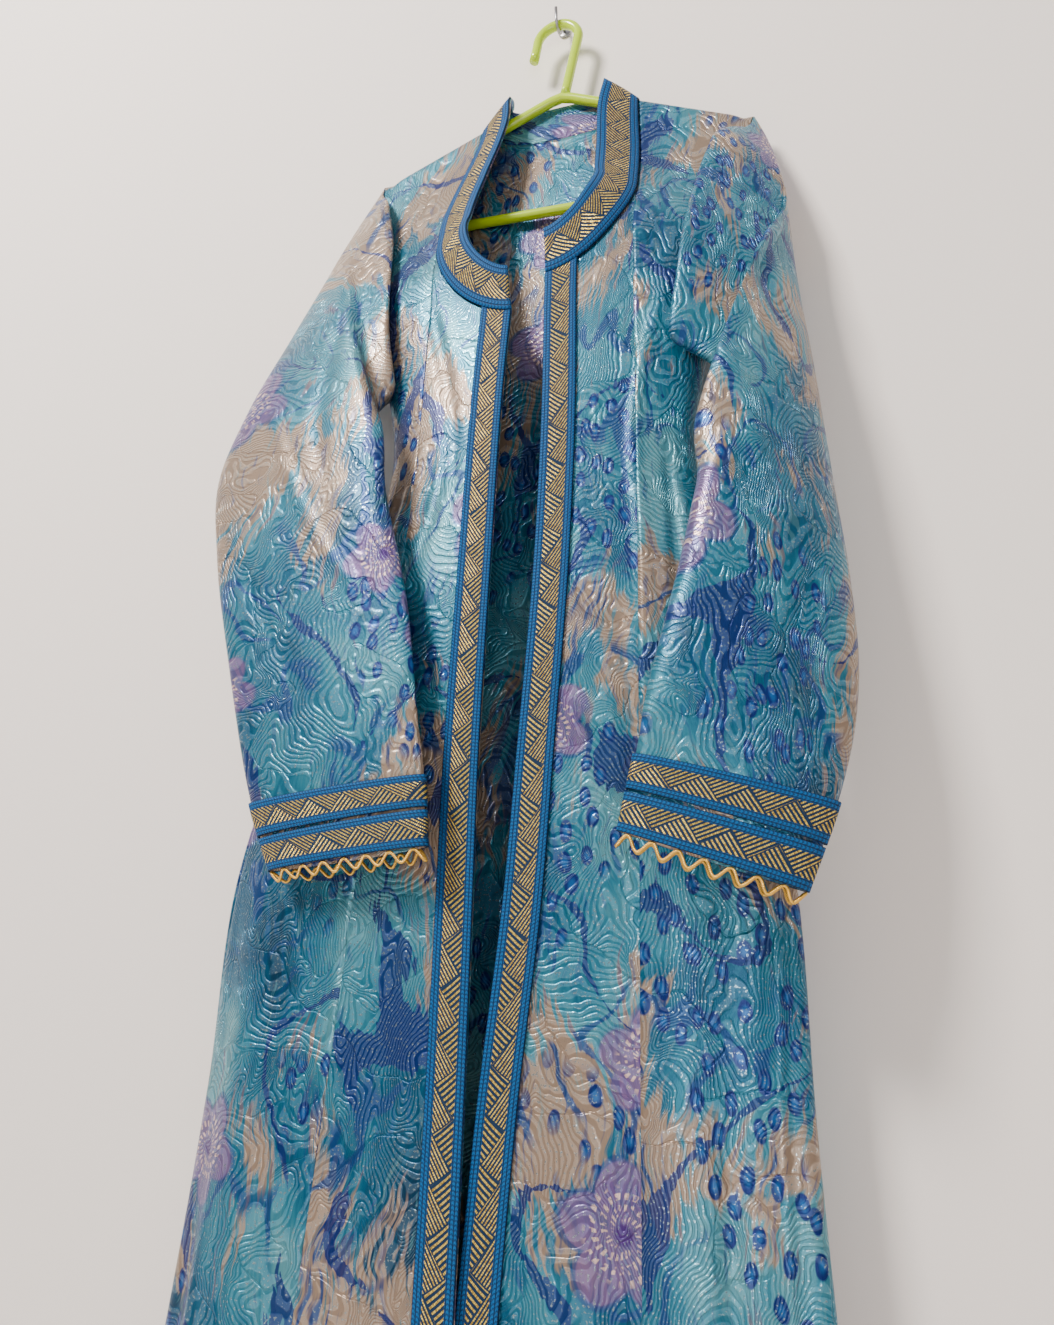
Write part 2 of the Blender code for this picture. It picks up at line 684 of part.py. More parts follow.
def picot_path(side):
    """Looped cord under a cuff: a wave whose tops touch the cuff's edge."""
    count = PICOT_WAVES * PICOT_STEPS
    path = []
    for k, angle in enumerate(cuff_angles(side, count)):
        edge = sleeve_point(side, 1.0, angle)
        down = unit(edge - sleeve_point(side, 0.96, angle))
        wave = 0.5 - 0.5 * math.cos(2.0 * math.pi * k / PICOT_STEPS)
        path.append(edge + down * (PICOT_R + 0.0006 + PICOT_DROP * wave))
    return path


def hanger_frame_path():
    """Closed loop of the hanger: two sloping arms, round ends and the straight bar."""
    bend_r = (ARM_Z - BAR_Z - ARM_SLOPE * ARM_REACH) / (
        1.0 + math.hypot(1.0, ARM_SLOPE) - ARM_SLOPE)
    bend_x = ARM_REACH - bend_r
    lean = math.atan(ARM_SLOPE)
    half = [(0.0, ARM_Z - 0.002)]
    half += [(t, ARM_Z - ARM_SLOPE * t) for t in (0.012, 0.05, 0.09, 0.13)]
    for k in range(9):
        a = 0.5 * math.pi - lean - (math.pi - lean) * k / 8.0
        half.append((bend_x + bend_r * math.cos(a), BAR_Z + bend_r + bend_r * math.sin(a)))
    half.append((0.08, BAR_Z))
    loop = half + [(0.0, BAR_Z)] + [(-x, z) for x, z in reversed(half[1:])]
    return [hanger_place(x, z) for x, z in loop]


def hanger_place(x, z):
    """Place on the hanger's plane, tilted about its own middle."""
    return (HANGER_X + x, HANGER_Y, z + math.tan(HANGER_TILT) * x)


def hanger_hook_path():
    centre_z = HOOK_TOP_Z - HOOK_R
    path = [(HOOK_TIP[0], HANGER_Y, HOOK_TIP[1])]
    for k in range(13):
        a = math.pi * (1.0 - k / 12.0)
        path.append((HOOK_R * math.cos(a), HANGER_Y, centre_z + HOOK_R * math.sin(a)))
    foot_x, foot_z = SHANK_FOOT
    for t in (0.35, 0.7, 1.0):
        path.append((HOOK_R + (foot_x - HOOK_R) * t, HANGER_Y, centre_z + (foot_z - centre_z) * t))
    path.append((foot_x, HANGER_Y, foot_z - 0.004))
    return path


def make_hanger(material):
    frame_mesh = tube_mesh(hanger_frame_path(), ROD_R, ROD_SIDES, closed=True)
    hanger = mesh_object("hanger", frame_mesh, material)
    hook = mesh_object("hanger_hook_guide", tube_mesh(hanger_hook_path(), ROD_R, ROD_SIDES), material)
    hook.hide_render = True
    hook.display_type = "WIRE"
    join = hanger.modifiers.new("hook", "BOOLEAN")
    join.operation = "UNION"
    join.solver = "EXACT"
    join.object = hook
    return hanger


def make_wall_hook(material):
    """Screw hook: a flange on the wall and a wire that dips under the hanger's hook."""
    saddle_z = HOOK_TOP_Z - ROD_R - SEAM_GAP - WIRE_R + SADDLE_R
    path = [(0.0, -0.5 * FLANGE_T, 0.0), (0.0, -0.0085, 0.0), (0.0, -0.0115, -0.0015)]
    for k in range(9):
        a = math.pi * k / 8.0
        path.append((0.0, HANGER_Y + SADDLE_R * math.cos(a), saddle_z - SADDLE_R * math.sin(a)))
    path.append((0.0, HANGER_Y - SADDLE_R - 0.002, saddle_z + 0.009))
    hook = mesh_object("wall_hook", tube_mesh(path, WIRE_R, 8), material)
    flange_mesh = tube_mesh([(0.0, 0.0, 0.0), (0.0, -FLANGE_T, 0.0)], FLANGE_R, 20)
    flange = mesh_object("flange_guide", flange_mesh, material)
    flange.hide_render = True
    flange.display_type = "WIRE"
    join = hook.modifiers.new("flange", "BOOLEAN")
    join.operation = "UNION"
    join.solver = "EXACT"
    join.object = flange
    return hook


def make_body(cloth):
    names = {-1: "right", 1: "left"}
    for side, wearer in names.items():
        points, normals = front_centre_grid(side, 6)
        sheet_solid(f"front_centre_{wearer}", points, normals, CLOTH, cloth)
        points, normals = front_side_grid(side, 8)
        sheet_solid(f"front_side_{wearer}", points, normals, CLOTH, cloth)
    points, normals = back_grid(24)
    sheet_solid("back", points, normals, CLOTH, cloth)


def make_sleeves(cloth, braid, gold):
    ways = [0.0, 0.03, 0.07, 0.12, 0.18, 0.24, 0.31, 0.38, 0.45, 0.52, 0.59, 0.66, 0.73,
            0.80, 0.87, CUFF_TOP, 0.96, 1.0]
    middle = 0.5 * (CUFF_TOP + 1.0)
    for side, wearer in ((-1, "right"), (1, "left")):
        points, normals = sleeve_grid(side, ways, 24)
        sheet_solid(f"sleeve_{wearer}", points, normals, CLOTH, cloth, closed=True)
        for row, start, stop in (("upper", CUFF_TOP, middle - 0.003), ("lower", middle + 0.003, 1.0)):
            lift = PROUD + BRAID
            points, normals = sleeve_grid(side, (start, stop), 24, lift)
            sheet_solid(f"cuff_braid_{row}_{wearer}", points, normals, BRAID, braid, closed=True)
        mesh_object(f"cuff_cord_{wearer}", tube_mesh(picot_path(side), PICOT_R, 5, closed=True), gold)


def make_trim(cloth, braid):
    points, normals = collar_grid((0.025, 0.25, 0.5, 0.75, 1.0))
    sheet_solid("collar", points, normals, CLOTH, cloth)
    points, normals = collar_grid((0.08, 0.3, 0.55, 0.8, 0.99), lift=PROUD + BRAID)
    sheet_solid("collar_braid", points, normals, BRAID, braid)
    for side, wearer in ((-1, "right"), (1, "left")):
        points, normals = front_band_grid(side, 3)
        sheet_solid(f"front_braid_{wearer}", points, normals, BRAID, braid)


def build():
    clear_scene()
    cloth = finish("brocade", (0.16, 0.45, 0.55), 0.4, 0.2)
    braid = finish("braid", (0.02, 0.25, 0.55), 0.6, 0.0)
    gold = finish("gold_cord", (0.75, 0.52, 0.18), 0.35, 0.8)
    plastic = finish("lime_plastic", (0.55, 0.78, 0.03), 0.3, 0.0)
    steel = finish("steel", (0.45, 0.45, 0.45), 0.35, 1.0)
    make_body(cloth)
    make_sleeves(cloth, braid, gold)
    make_trim(cloth, braid)
    make_hanger(plastic)
    make_wall_hook(steel)


build()
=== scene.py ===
"""Long open-front kaftan on a lime-green hanger: brocade, braid, gold cord, hanger and wall hook."""

import math

import bpy
import numpy as np
from mathutils import Matrix, Vector


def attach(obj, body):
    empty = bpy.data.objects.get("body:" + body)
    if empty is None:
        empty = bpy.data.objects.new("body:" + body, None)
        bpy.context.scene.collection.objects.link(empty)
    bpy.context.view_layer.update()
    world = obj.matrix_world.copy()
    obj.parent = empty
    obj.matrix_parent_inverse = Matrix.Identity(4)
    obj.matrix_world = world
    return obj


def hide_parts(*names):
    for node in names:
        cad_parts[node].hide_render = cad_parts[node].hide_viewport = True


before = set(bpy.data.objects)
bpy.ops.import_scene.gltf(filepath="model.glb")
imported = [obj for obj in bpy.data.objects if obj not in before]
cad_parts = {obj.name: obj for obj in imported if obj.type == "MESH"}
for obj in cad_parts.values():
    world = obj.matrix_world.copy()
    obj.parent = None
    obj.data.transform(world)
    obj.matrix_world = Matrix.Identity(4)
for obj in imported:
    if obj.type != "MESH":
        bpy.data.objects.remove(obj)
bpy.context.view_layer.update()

# Sizes shared with the solids
CLOTH = 0.0010
BRAID = 0.0016
PROUD = 0.0004
ROD_R = 0.0047
HANGER_Y = -0.022
HANGER_X = 0.006
HANGER_TILT = math.radians(-2.0)
HOOK_TOP_Z = -0.015
HOOK_R = 0.021
HOOK_TIP = (-0.024, -0.055)
HOOK_TIP_BEND = (-0.0228, -0.048)
SHANK_FOOT = (0.009, -0.108)
ARM_Z = -0.108
ARM_SLOPE = 0.458
ARM_REACH = 0.174
ARM_PEAK_DROP = 0.002
BAR_Z = -0.243
WIRE_R = 0.0015
FLANGE_R = 0.006
FLANGE_T = 0.002
FLANGE_EDGE = 0.0014
FLANGE_FACE_R = 0.0050
HOOK_GAP = 0.0003
SADDLE_R = 0.0085
WIRE_SHANK = ((-0.0005, 0.0), (-0.0085, 0.0), (-0.0115, -0.0015))
WIRE_TIP_OUT, WIRE_TIP_UP = 0.002, 0.009
COVER_R = 0.0066
UNDERARM_Z = -0.440
HEM_Z = -1.530
ARMHOLE_TOP_Z = -0.185
ARMHOLE_SPREAD = math.radians(30.0)
SHOULDER_SEAM = -60.0
NECK_X = 0.075
BACK_NECK_Z = -0.153
BRAID_W = 0.027
COLLAR_H = 0.039
ROUNDNESS = 2.2
SHOULDER_DEPTH = 0.20
ARMHOLE_BLEND = 0.16
TIP_ARC = math.radians(30.0)
ARMHOLE_GAP = 0.0008
# Cuffs, and the looped cord of two twisted strands under each
CUFF_TOP = 0.92
CUFF_ROW_GAP = 0.0015
PICOT_FROM = 0.96
PICOT_WAVES = 15
PICOT_DROP = 0.008
PICOT_TOP = 0.0012
PICOT_TWISTS = 170
STRAND_OFFSET = 0.00052
STRAND_R = 0.00072
# Places along the neck seam where the front, the shoulder side and the arm's cover end
FRONT_PLACE = 0.30
ARM_PLACE = 0.70
BACK_PLACE = 0.78
# First rows under an edge: below the arm's cover, below the back's top, under the collar
COVER_STEP = 0.006
BACK_STEPS = (0.0035, 0.010)
BAND_TUCK = 0.0012
# Fineness of the meshes: rows above and below the underarm line, columns, steps round
CENTRE_ROWS, SIDE_ROWS, BACK_ROWS, BAND_ROWS = 30, 46, 44, 40
LOW_ROWS, BAND_LOW_ROWS = 170, 340
CENTRE_COLUMNS, SIDE_COLUMNS, BACK_COLUMNS, BAND_COLUMNS = 22, 32, 91, 12
SLEEVE_ROWS, SLEEVE_COLUMNS = 150, 72
CUFF_ROWS, CUFF_COLUMNS = 12, 144
COLLAR_ROWS, COLLAR_STEPS = 14, 130
PICOT_POINTS, PICOT_EDGE_POINTS = 48, 360
ROD_SIDES, WIRE_SIDES, FLANGE_SIDES, STRAND_SIDES = 28, 20, 32, 6
SETTLING = 14

# Outline of the hanging body: height, left side, right side, front and back depth
BODY = (
    (-0.10, -0.200, 0.212, -0.058, -0.012),
    (-0.19, -0.196, 0.208, -0.062, -0.012),
    (-0.26, -0.174, 0.186, -0.070, -0.012),
    (-0.32, -0.163, 0.174, -0.076, -0.012),
    (-0.38, -0.153, 0.163, -0.080, -0.012),
    (-0.44, -0.134, 0.143, -0.082, -0.012),
    (-0.51, -0.124, 0.131, -0.082, -0.011),
    (-0.60, -0.146, 0.147, -0.081, -0.011),
    (-0.70, -0.186, 0.170, -0.081, -0.010),
    (-0.85, -0.226, 0.191, -0.084, -0.010),
    (-1.00, -0.228, 0.194, -0.088, -0.010),
    (-1.12, -0.233, 0.200, -0.092, -0.010),
    (-1.30, -0.246, 0.216, -0.098, -0.010),
    (-1.53, -0.264, 0.238, -0.108, -0.010),
)
# Front edges: height, left opening edge, right opening edge, left seam, right seam
FRONT = (
    (-0.26, -0.0100, 0.0140, -0.0925, 0.0860),
    (-0.36, -0.0115, 0.0150, -0.0885, 0.0880),
    (-0.48, -0.0160, 0.0175, -0.0905, 0.0900),
    (-0.62, -0.0185, 0.0155, -0.0960, 0.0925),
    (-0.76, -0.0195, 0.0090, -0.1030, 0.0940),
    (-0.87, -0.0170, 0.0040, -0.1090, 0.0955),
    (-1.00, -0.0140, -0.0080, -0.1150, 0.0970),
    (-1.12, -0.0120, -0.0140, -0.1210, 0.0990),
    (-1.53, -0.0080, -0.0170, -0.1400, 0.1080),
)
# Neck seam down the sides: height, left, right
NECK_SIDE = (
    (-0.13, -0.069, 0.081),
    (-0.15, -0.071, 0.0815),
    (-0.18, -0.079, 0.083),
    (-0.21, -0.087, 0.085),
    (-0.26, -0.0935, 0.0865),
    (-0.30, -0.0905, 0.0860),
)
NECK_TURN_Z = {-1: -0.300, 1: -0.268}
NECK_END_Z = {-1: -0.392, 1: -0.360}
NECK_CURVE = 1.7
# Soft folds: side, share of the way round, width share, depth inwards, top
FOLDS = (
    (1, 0.30, 0.10, 0.006, -0.52),
    (1, 0.47, 0.09, -0.007, -0.70),
    (1, 0.66, 0.13, 0.009, -0.66),
    (1, 0.86, 0.12, -0.006, -0.55),
    (-1, 0.27, 0.10, -0.006, -0.60),
    (-1, 0.40, 0.08, 0.007, -0.85),
    (-1, 0.56, 0.11, -0.010, -0.80),
    (-1, 0.74, 0.12, 0.008, -0.66),
    (-1, 0.89, 0.10, 0.006, -0.50),
)
LAP_DEPTH = 0.0062
LAP_TOP_Z = -0.86
LAP_FULL_Z = -1.04
LAP_SHARE = 0.42
# Creases in the body: side, share and height at both ends, half width in share, depth inwards
CREASES = (
    (-1, 0.20, -0.33, 0.12, -0.62, 0.030, 0.0022),
    (-1, 0.16, -0.48, 0.22, -0.90, 0.025, -0.0020),
    (-1, 0.30, -0.50, 0.34, -0.74, 0.035, 0.0030),
    (-1, 0.24, -0.92, 0.17, -1.40, 0.030, 0.0024),
    (-1, 0.33, -1.02, 0.30, -1.50, 0.030, -0.0026),
    (-1, 0.42, -0.56, 0.44, -0.98, 0.028, 0.0030),
    (1, 0.24, -0.34, 0.20, -0.72, 0.030, -0.0022),
    (1, 0.33, -0.50, 0.22, -0.78, 0.030, 0.0030),
    (1, 0.15, -0.60, 0.19, -1.00, 0.025, 0.0018),
    (1, 0.38, -0.84, 0.34, -1.30, 0.030, -0.0028),
    (1, 0.28, -0.96, 0.25, -1.46, 0.024, 0.0024),
    (1, 0.43, -0.55, 0.42, -0.95, 0.026, 0.0032),
    (1, 0.62, -0.40, 0.70, -0.86, 0.035, 0.0034),
    (-1, 0.64, -0.42, 0.72, -0.90, 0.035, -0.0030),
    (1, 0.78, -0.52, 0.80, -1.20, 0.035, 0.0030),
    (-1, 0.82, -0.50, 0.86, -1.16, 0.030, 0.0028),
    (-1, 0.93, -0.78, 0.95, -1.44, 0.030, -0.0026),
    (1, 0.92, -0.86, 0.90, -1.50, 0.030, 0.0028),
)
# Sleeves: way along, outer edge x y z, inner edge x y z, half thickness
SLEEVE = {
    -1: (
        (0.00, -0.182, -0.022, -0.192, -0.141, -0.047, -0.441, 0.018),
        (0.10, -0.201, -0.028, -0.235, -0.142, -0.066, -0.462, 0.021),
        (0.20, -0.219, -0.036, -0.290, -0.136, -0.082, -0.487, 0.022),
        (0.32, -0.242, -0.048, -0.360, -0.115, -0.094, -0.532, 0.020),
        (0.45, -0.269, -0.061, -0.440, -0.091, -0.100, -0.600, 0.017),
        (0.55, -0.284, -0.068, -0.510, -0.077, -0.102, -0.648, 0.014),
        (0.66, -0.268, -0.076, -0.590, -0.067, -0.104, -0.695, 0.012),
        (0.78, -0.238, -0.085, -0.680, -0.058, -0.106, -0.745, 0.011),
        (0.92, -0.193, -0.094, -0.801, -0.0495, -0.108, -0.785, 0.010),
        (1.00, -0.167, -0.098, -0.850, -0.0440, -0.109, -0.834, 0.010),
    ),
    1: (
        (0.00, 0.194, -0.022, -0.204, 0.150, -0.047, -0.441, 0.018),
        (0.10, 0.204, -0.028, -0.245, 0.153, -0.070, -0.468, 0.025),
        (0.20, 0.209, -0.034, -0.300, 0.152, -0.090, -0.510, 0.028),
        (0.32, 0.214, -0.042, -0.385, 0.146, -0.103, -0.555, 0.029),
        (0.45, 0.223, -0.052, -0.480, 0.137, -0.113, -0.605, 0.028),
        (0.55, 0.230, -0.060, -0.570, 0.129, -0.118, -0.648, 0.026),
        (0.66, 0.237, -0.068, -0.650, 0.119, -0.122, -0.692, 0.022),
        (0.78, 0.238, -0.080, -0.725, 0.108, -0.124, -0.738, 0.018),
        (0.92, 0.221, -0.094, -0.805, 0.1015, -0.124, -0.778, 0.013),
        (1.00, 0.200, -0.100, -0.859, 0.091, -0.122, -0.826, 0.012),
    ),
}
# Roll of each sleeve over its armhole and the trough beside it: way along, half span, x and y shift
SLEEVE_ROLLS = {
    -1: ((0.070, 0.070, 0.018, -0.014), (0.22, 0.20, 0.020, -0.006)),
    1: ((0.065, 0.062, -0.030, -0.024), (0.165, 0.07, 0.010, 0.016), (0.28, 0.14, -0.010, -0.004)),
}
ROLL_FROM, ROLL_FULL = math.radians(14.0), math.radians(55.0)
ROLL_FADE, ROLL_TO = math.radians(165.0), math.radians(205.0)
# Creases in the sleeves: side, way along and angle at both ends, half width, depth inwards
SLEEVE_CREASES = (
    (-1, 0.12, 1.10, 0.50, 1.90, 0.20, 0.0016),
    (-1, 0.40, 0.90, 0.62, 2.30, 0.16, -0.0014),
    (-1, 0.60, 0.70, 0.84, 1.60, 0.18, 0.0012),
    (1, 0.08, 1.30, 0.46, 0.80, 0.22, 0.0030),
    (1, 0.22, 2.10, 0.58, 1.50, 0.20, -0.0024),
    (1, 0.45, 2.30, 0.66, 1.00, 0.16, 0.0022),
    (1, 0.60, 0.90, 0.88, 1.80, 0.20, 0.0018),
    (-1, 0.20, 4.20, 0.70, 4.90, 0.25, 0.0016),
    (1, 0.20, 4.10, 0.72, 4.70, 0.25, 0.0024),
)
# Collar: place along the neck seam, then its direction at the seam and at its top edge
COLLAR = {
    -1: (
        (0.00, -0.10, -0.25, 1.00, -0.05, -0.15, 1.00),
        (0.14, 0.50, -0.40, 0.80, 0.45, -0.20, 0.85),
        (0.26, 0.80, -0.45, 0.50, 0.85, -0.20, 0.45),
        (0.40, 0.95, -0.50, 0.10, 0.95, -0.20, 0.10),
        (0.54, 0.92, -0.48, 0.12, 0.92, -0.25, 0.10),
        (0.64, 0.88, -0.42, 0.32, 0.88, -0.30, 0.25),
        (0.70, 0.72, -0.25, 0.66, 0.75, -0.25, 0.55),
        (0.75, 0.62, -0.08, 0.80, 0.74, -0.12, 0.55),
        (0.80, 0.48, 0.00, 0.92, 0.62, -0.05, 0.72),
        (0.86, 0.28, 0.03, 1.00, 0.34, 0.02, 0.92),
        (0.93, 0.07, 0.03, 1.00, 0.08, 0.01, 1.00),
        (1.00, 0.00, 0.01, 1.00, 0.00, 0.00, 1.00),
    ),
    1: (
        (0.00, 0.05, -0.25, 1.00, -0.05, -0.15, 1.00),
        (0.14, -0.50, -0.40, 0.80, -0.45, -0.20, 0.85),
        (0.26, -0.80, -0.45, 0.50, -0.85, -0.20, 0.45),
        (0.40, -0.95, -0.50, 0.10, -0.95, -0.20, 0.10),
        (0.54, -0.92, -0.48, 0.12, -0.92, -0.25, 0.10),
        (0.64, -0.88, -0.42, 0.32, -0.88, -0.30, 0.25),
        (0.70, -0.74, -0.28, 0.62, -0.78, -0.30, 0.50),
        (0.75, -0.68, -0.14, 0.72, -0.84, -0.20, 0.38),
        (0.80, -0.58, -0.04, 0.84, -0.84, -0.14, 0.44),
        (0.86, -0.36, 0.06, 0.96, -0.56, -0.14, 0.74),
        (0.93, -0.07, 0.04, 1.00, -0.10, 0.00, 1.00),
        (1.00, 0.00, 0.01, 1.00, 0.00, 0.00, 1.00),
    ),
}


# Curves and surfaces
def curve(table, column, place, key=0):
    """Smooth value of a table's column at places of its key column."""
    rows = sorted(table, key=lambda row: row[key])
    keys = np.array([row[key] for row in rows])
    values = np.array([row[column] for row in rows])
    place = np.clip(place, keys[0], keys[-1])
    slopes = np.gradient(values, keys)
    k = np.clip(np.searchsorted(keys, place) - 1, 0, len(keys) - 2)
    width = keys[k + 1] - keys[k]
    t = (place - keys[k]) / width
    start = (2 * t**3 - 3 * t**2 + 1) * values[k] + (t**3 - 2 * t**2 + t) * width * slopes[k]
    end = (3 * t**2 - 2 * t**3) * values[k + 1] + (t**3 - t**2) * width * slopes[k + 1]
    return start + end


def ease(t):
    """Smooth rise from 0 to 1."""
    t = np.clip(t, 0.0, 1.0)
    return t * t * (3.0 - 2.0 * t)


def unit(v):
    return v / np.maximum(np.linalg.norm(v, axis=-1, keepdims=True), 1e-12)


def signed_power(value, power):
    return np.sign(value) * np.abs(value) ** power


def arm_bend():
    """Radius of the hanger's bend and how far out its centre lies."""
    bend_r = (ARM_Z - BAR_Z - ARM_SLOPE * ARM_REACH) / (1.0 + math.hypot(1.0, ARM_SLOPE) - ARM_SLOPE)
    return bend_r, ARM_REACH - bend_r


def arm_line(x):
    """Height and slope of the hanger arm's centre line, before its tilt."""
    side = np.abs(x - HANGER_X)
    bend_r, bend_x = arm_bend()
    join = bend_x + bend_r * ARM_SLOPE / math.hypot(1.0, ARM_SLOPE)
    out = np.clip(side - bend_x, 0.0, 0.93 * bend_r)
    rise = np.sqrt(bend_r**2 - out**2)
    height = np.where(side <= join, ARM_Z - ARM_SLOPE * side, BAR_Z + bend_r + rise)
    return height, np.where(side <= join, ARM_SLOPE, out / rise)


def shoulder(x):
    """Top height of the cloth over the arm and the arm section's upright half size."""
    height, slope = arm_line(x)
    upright = COVER_R * np.hypot(1.0, slope)
    return height + upright + math.tan(HANGER_TILT) * (x - HANGER_X), upright


def ring(side, z, turn):
    """Points of the body's level section; turn is 0 at the front and pi at the back."""
    left, right = curve(BODY, 1, z), curve(BODY, 2, z)
    middle, half = 0.5 * (left + right), 0.5 * (right - left)
    front, back = curve(BODY, 3, z), curve(BODY, 4, z)
    power = 2.0 / ROUNDNESS
    x = middle + side * half * signed_power(np.sin(turn), power)
    y = 0.5 * (front + back) + signed_power(np.cos(turn), power) * 0.5 * (front - back)
    top, upright = shoulder(x)
    drop = np.maximum(top - z, 0.0)
    hug = COVER_R * np.sqrt(np.maximum(0.0, 1.0 - (1.0 - np.minimum(drop / upright, 1.0)) ** 2))
    away = np.where(turn < 0.5 * math.pi, -1.0, 1.0)
    full = np.maximum(away * (y - HANGER_Y), np.where(drop >= upright, COVER_R, hug))
    near = HANGER_Y + away * (hug + (full - np.minimum(hug, full)) * ease(drop / SHOULDER_DEPTH))
    y = np.where(drop < SHOULDER_DEPTH, near, y)
    return np.stack(np.broadcast_arrays(x, y, z), axis=-1)


def turn_at(z, x, side):
    """Turn of the level section at which it reaches a distance to one side."""
    left, right = curve(BODY, 1, z), curve(BODY, 2, z)
    share = np.clip(side * (x - 0.5 * (left + right)) / (0.5 * (right - left)), -1.0, 1.0)
    return np.arcsin(np.clip(signed_power(share, ROUNDNESS / 2.0), -1.0, 1.0))


def armhole_turn(z):
    """Turn of the armhole's front edge; its back edge is the mirror of it."""
    t = np.clip((ARMHOLE_TOP_Z - z) / (ARMHOLE_TOP_Z - UNDERARM_Z), 0.0, 1.0)
    return 0.5 * math.pi - ARMHOLE_SPREAD * np.sqrt(1.0 - t**4)


def bell(x):
    """Soft bump from 0 at -1 to 1 in the middle and back to 0 at 1."""
    return np.where(np.abs(x) < 1.0, np.cos(0.5 * math.pi * np.clip(x, -1, 1)) ** 2, 0.0)


def fold_depth(side, share, z):
    """How far folds, creases and the lap push the cloth inwards."""
    depth = np.zeros(np.broadcast(share, z).shape)
    for row_side, place, width, deep, top in FOLDS:
        on = np.where(side == row_side, 1.0, 0.0)
        depth = depth + on * deep * bell((share - place) / width) * ease((top - z) / 0.45)
    for row_side, share_a, z_a, share_b, z_b, width, deep in CREASES:
        on = np.where(side == row_side, 1.0, 0.0)
        t = (z - z_a) / (z_b - z_a)
        fade = ease(t / 0.25) * ease((1.0 - t) / 0.3)
        line = share_a + (share_b - share_a) * np.clip(t, 0, 1)
        depth = depth + on * deep * fade * bell((share - line) / width)
    lap = ease((LAP_TOP_Z - z) / (LAP_TOP_Z - LAP_FULL_Z))
    under = LAP_DEPTH * lap * ease((LAP_SHARE - share) / LAP_SHARE)
    return depth + np.where(side > 0, under, 0.0)


def body_surface(side, z, turn):
    """Outer face of the hanging body and its outward normals."""
    side, z, turn = np.broadcast_arrays(side, z, turn)
    base = ring(side, z, turn)
    along = ring(side, z, turn + 0.01) - ring(side, z, turn - 0.01)
    up = ring(side, z + 0.004, turn) - ring(side, z - 0.004, turn)
    normal = unit(np.cross(along, up)) * side[..., None]
    return base - normal * fold_depth(side, turn / math.pi, z)[..., None]


def grid_normals(points, closed=False):
    """Normals of a grid of points, from the points next to each."""
    down = np.gradient(points, axis=0)
    if closed:
        across = np.roll(points, -1, axis=1) - np.roll(points, 1, axis=1)
    else:
        across = np.gradient(points, axis=1)
    return unit(np.cross(down, across))


def over_arm(x_at, angle):
    """Points of the cloth over the hanger arm; angle 0 is the top and 90 the front."""
    a = math.radians(angle)
    z = -0.16
    for _ in range(SETTLING):
        x = x_at(z)
        top, upright = shoulder(x)
        z = top - upright * (1.0 - math.cos(a))
    return np.stack([x, np.full_like(x, HANGER_Y - COVER_R * math.sin(a)), z], axis=-1)


def neck_edge_x(side, z):
    return curve(NECK_SIDE, 1 if side < 0 else 2, z)


def seam_x(side, z):
    low = curve(FRONT, 3 if side < 0 else 4, z)
    meet = neck_edge_x(side, NECK_TURN_Z[side])
    below = meet + (low - meet) * ease((NECK_TURN_Z[side] - z) / 0.10)
    return np.where(z > NECK_TURN_Z[side], neck_edge_x(side, z), below)


def opening_x(side, z):
    return curve(FRONT, 1 if side < 0 else 2, z)


def front_neck_z(side, x):
    """Height of the neck seam at the front, from the opening edge to the panel seam."""
    turn_z, end_z = NECK_TURN_Z[side], NECK_END_Z[side]
    far, near = seam_x(side, turn_z), opening_x(side, end_z)
    u = np.clip((x - near) / (far - near), 0.0, 1.0)
    return turn_z + (end_z - turn_z) * (1.0 - u**NECK_CURVE) ** (1.0 / NECK_CURVE)


def heights(start, rows_top, rows_low):
    """Rows of heights from a top edge to the underarm line and down to the hem."""
    s = np.linspace(0.0, 1.0, rows_top)[:, None]
    t = np.linspace(0.0, 1.0, rows_low + 1)[1:, None]
    low = np.broadcast_to(UNDERARM_Z + (HEM_Z - UNDERARM_Z) * t, (rows_low, len(start)))
    return np.vstack([start + (UNDERARM_Z - start) * s, low])


def centre_surface(side, columns):
    """Centre front panel, from its opening edge to the long panel seam."""
    share = np.sin(0.5 * math.pi * np.linspace(0.0, 1.0, columns))
    top = np.full(columns, NECK_TURN_Z[side])
    for _ in range(SETTLING):
        start = turn_at(top, opening_x(side, top), side)
        stop = turn_at(top, seam_x(side, top), side)
        top = front_neck_z(side, ring(side, top, start + (stop - start) * share)[..., 0])
    z = heights(top, CENTRE_ROWS, LOW_ROWS)
    start, stop = turn_at(z, opening_x(side, z), side), turn_at(z, seam_x(side, z), side)
    return body_surface(side, z, start + (stop - start) * share)


def side_surface(side, columns):
    """Side front panel, from behind the hanger's arm over it and down to the hem."""
    share = np.linspace(0.0, 1.0, columns)

    def x_at(z):
        start = turn_at(z, seam_x(side, z), side)
        return ring(side, z, start + (armhole_turn(z) - start) * share)[..., 0]

    angles = (-54.0, -40.0, -26.0, -12.0, 0.0, 14.0, 28.0, 42.0, 56.0, 72.0, 90.0)
    covers = np.array([over_arm(x_at, angle) for angle in angles])
    z = heights(covers[-1][..., 2] - COVER_STEP, SIDE_ROWS, LOW_ROWS)
    start = turn_at(z, seam_x(side, z), side)
    low = body_surface(side, z, start + (armhole_turn(z) - start) * share)
    return np.concatenate([covers, low])


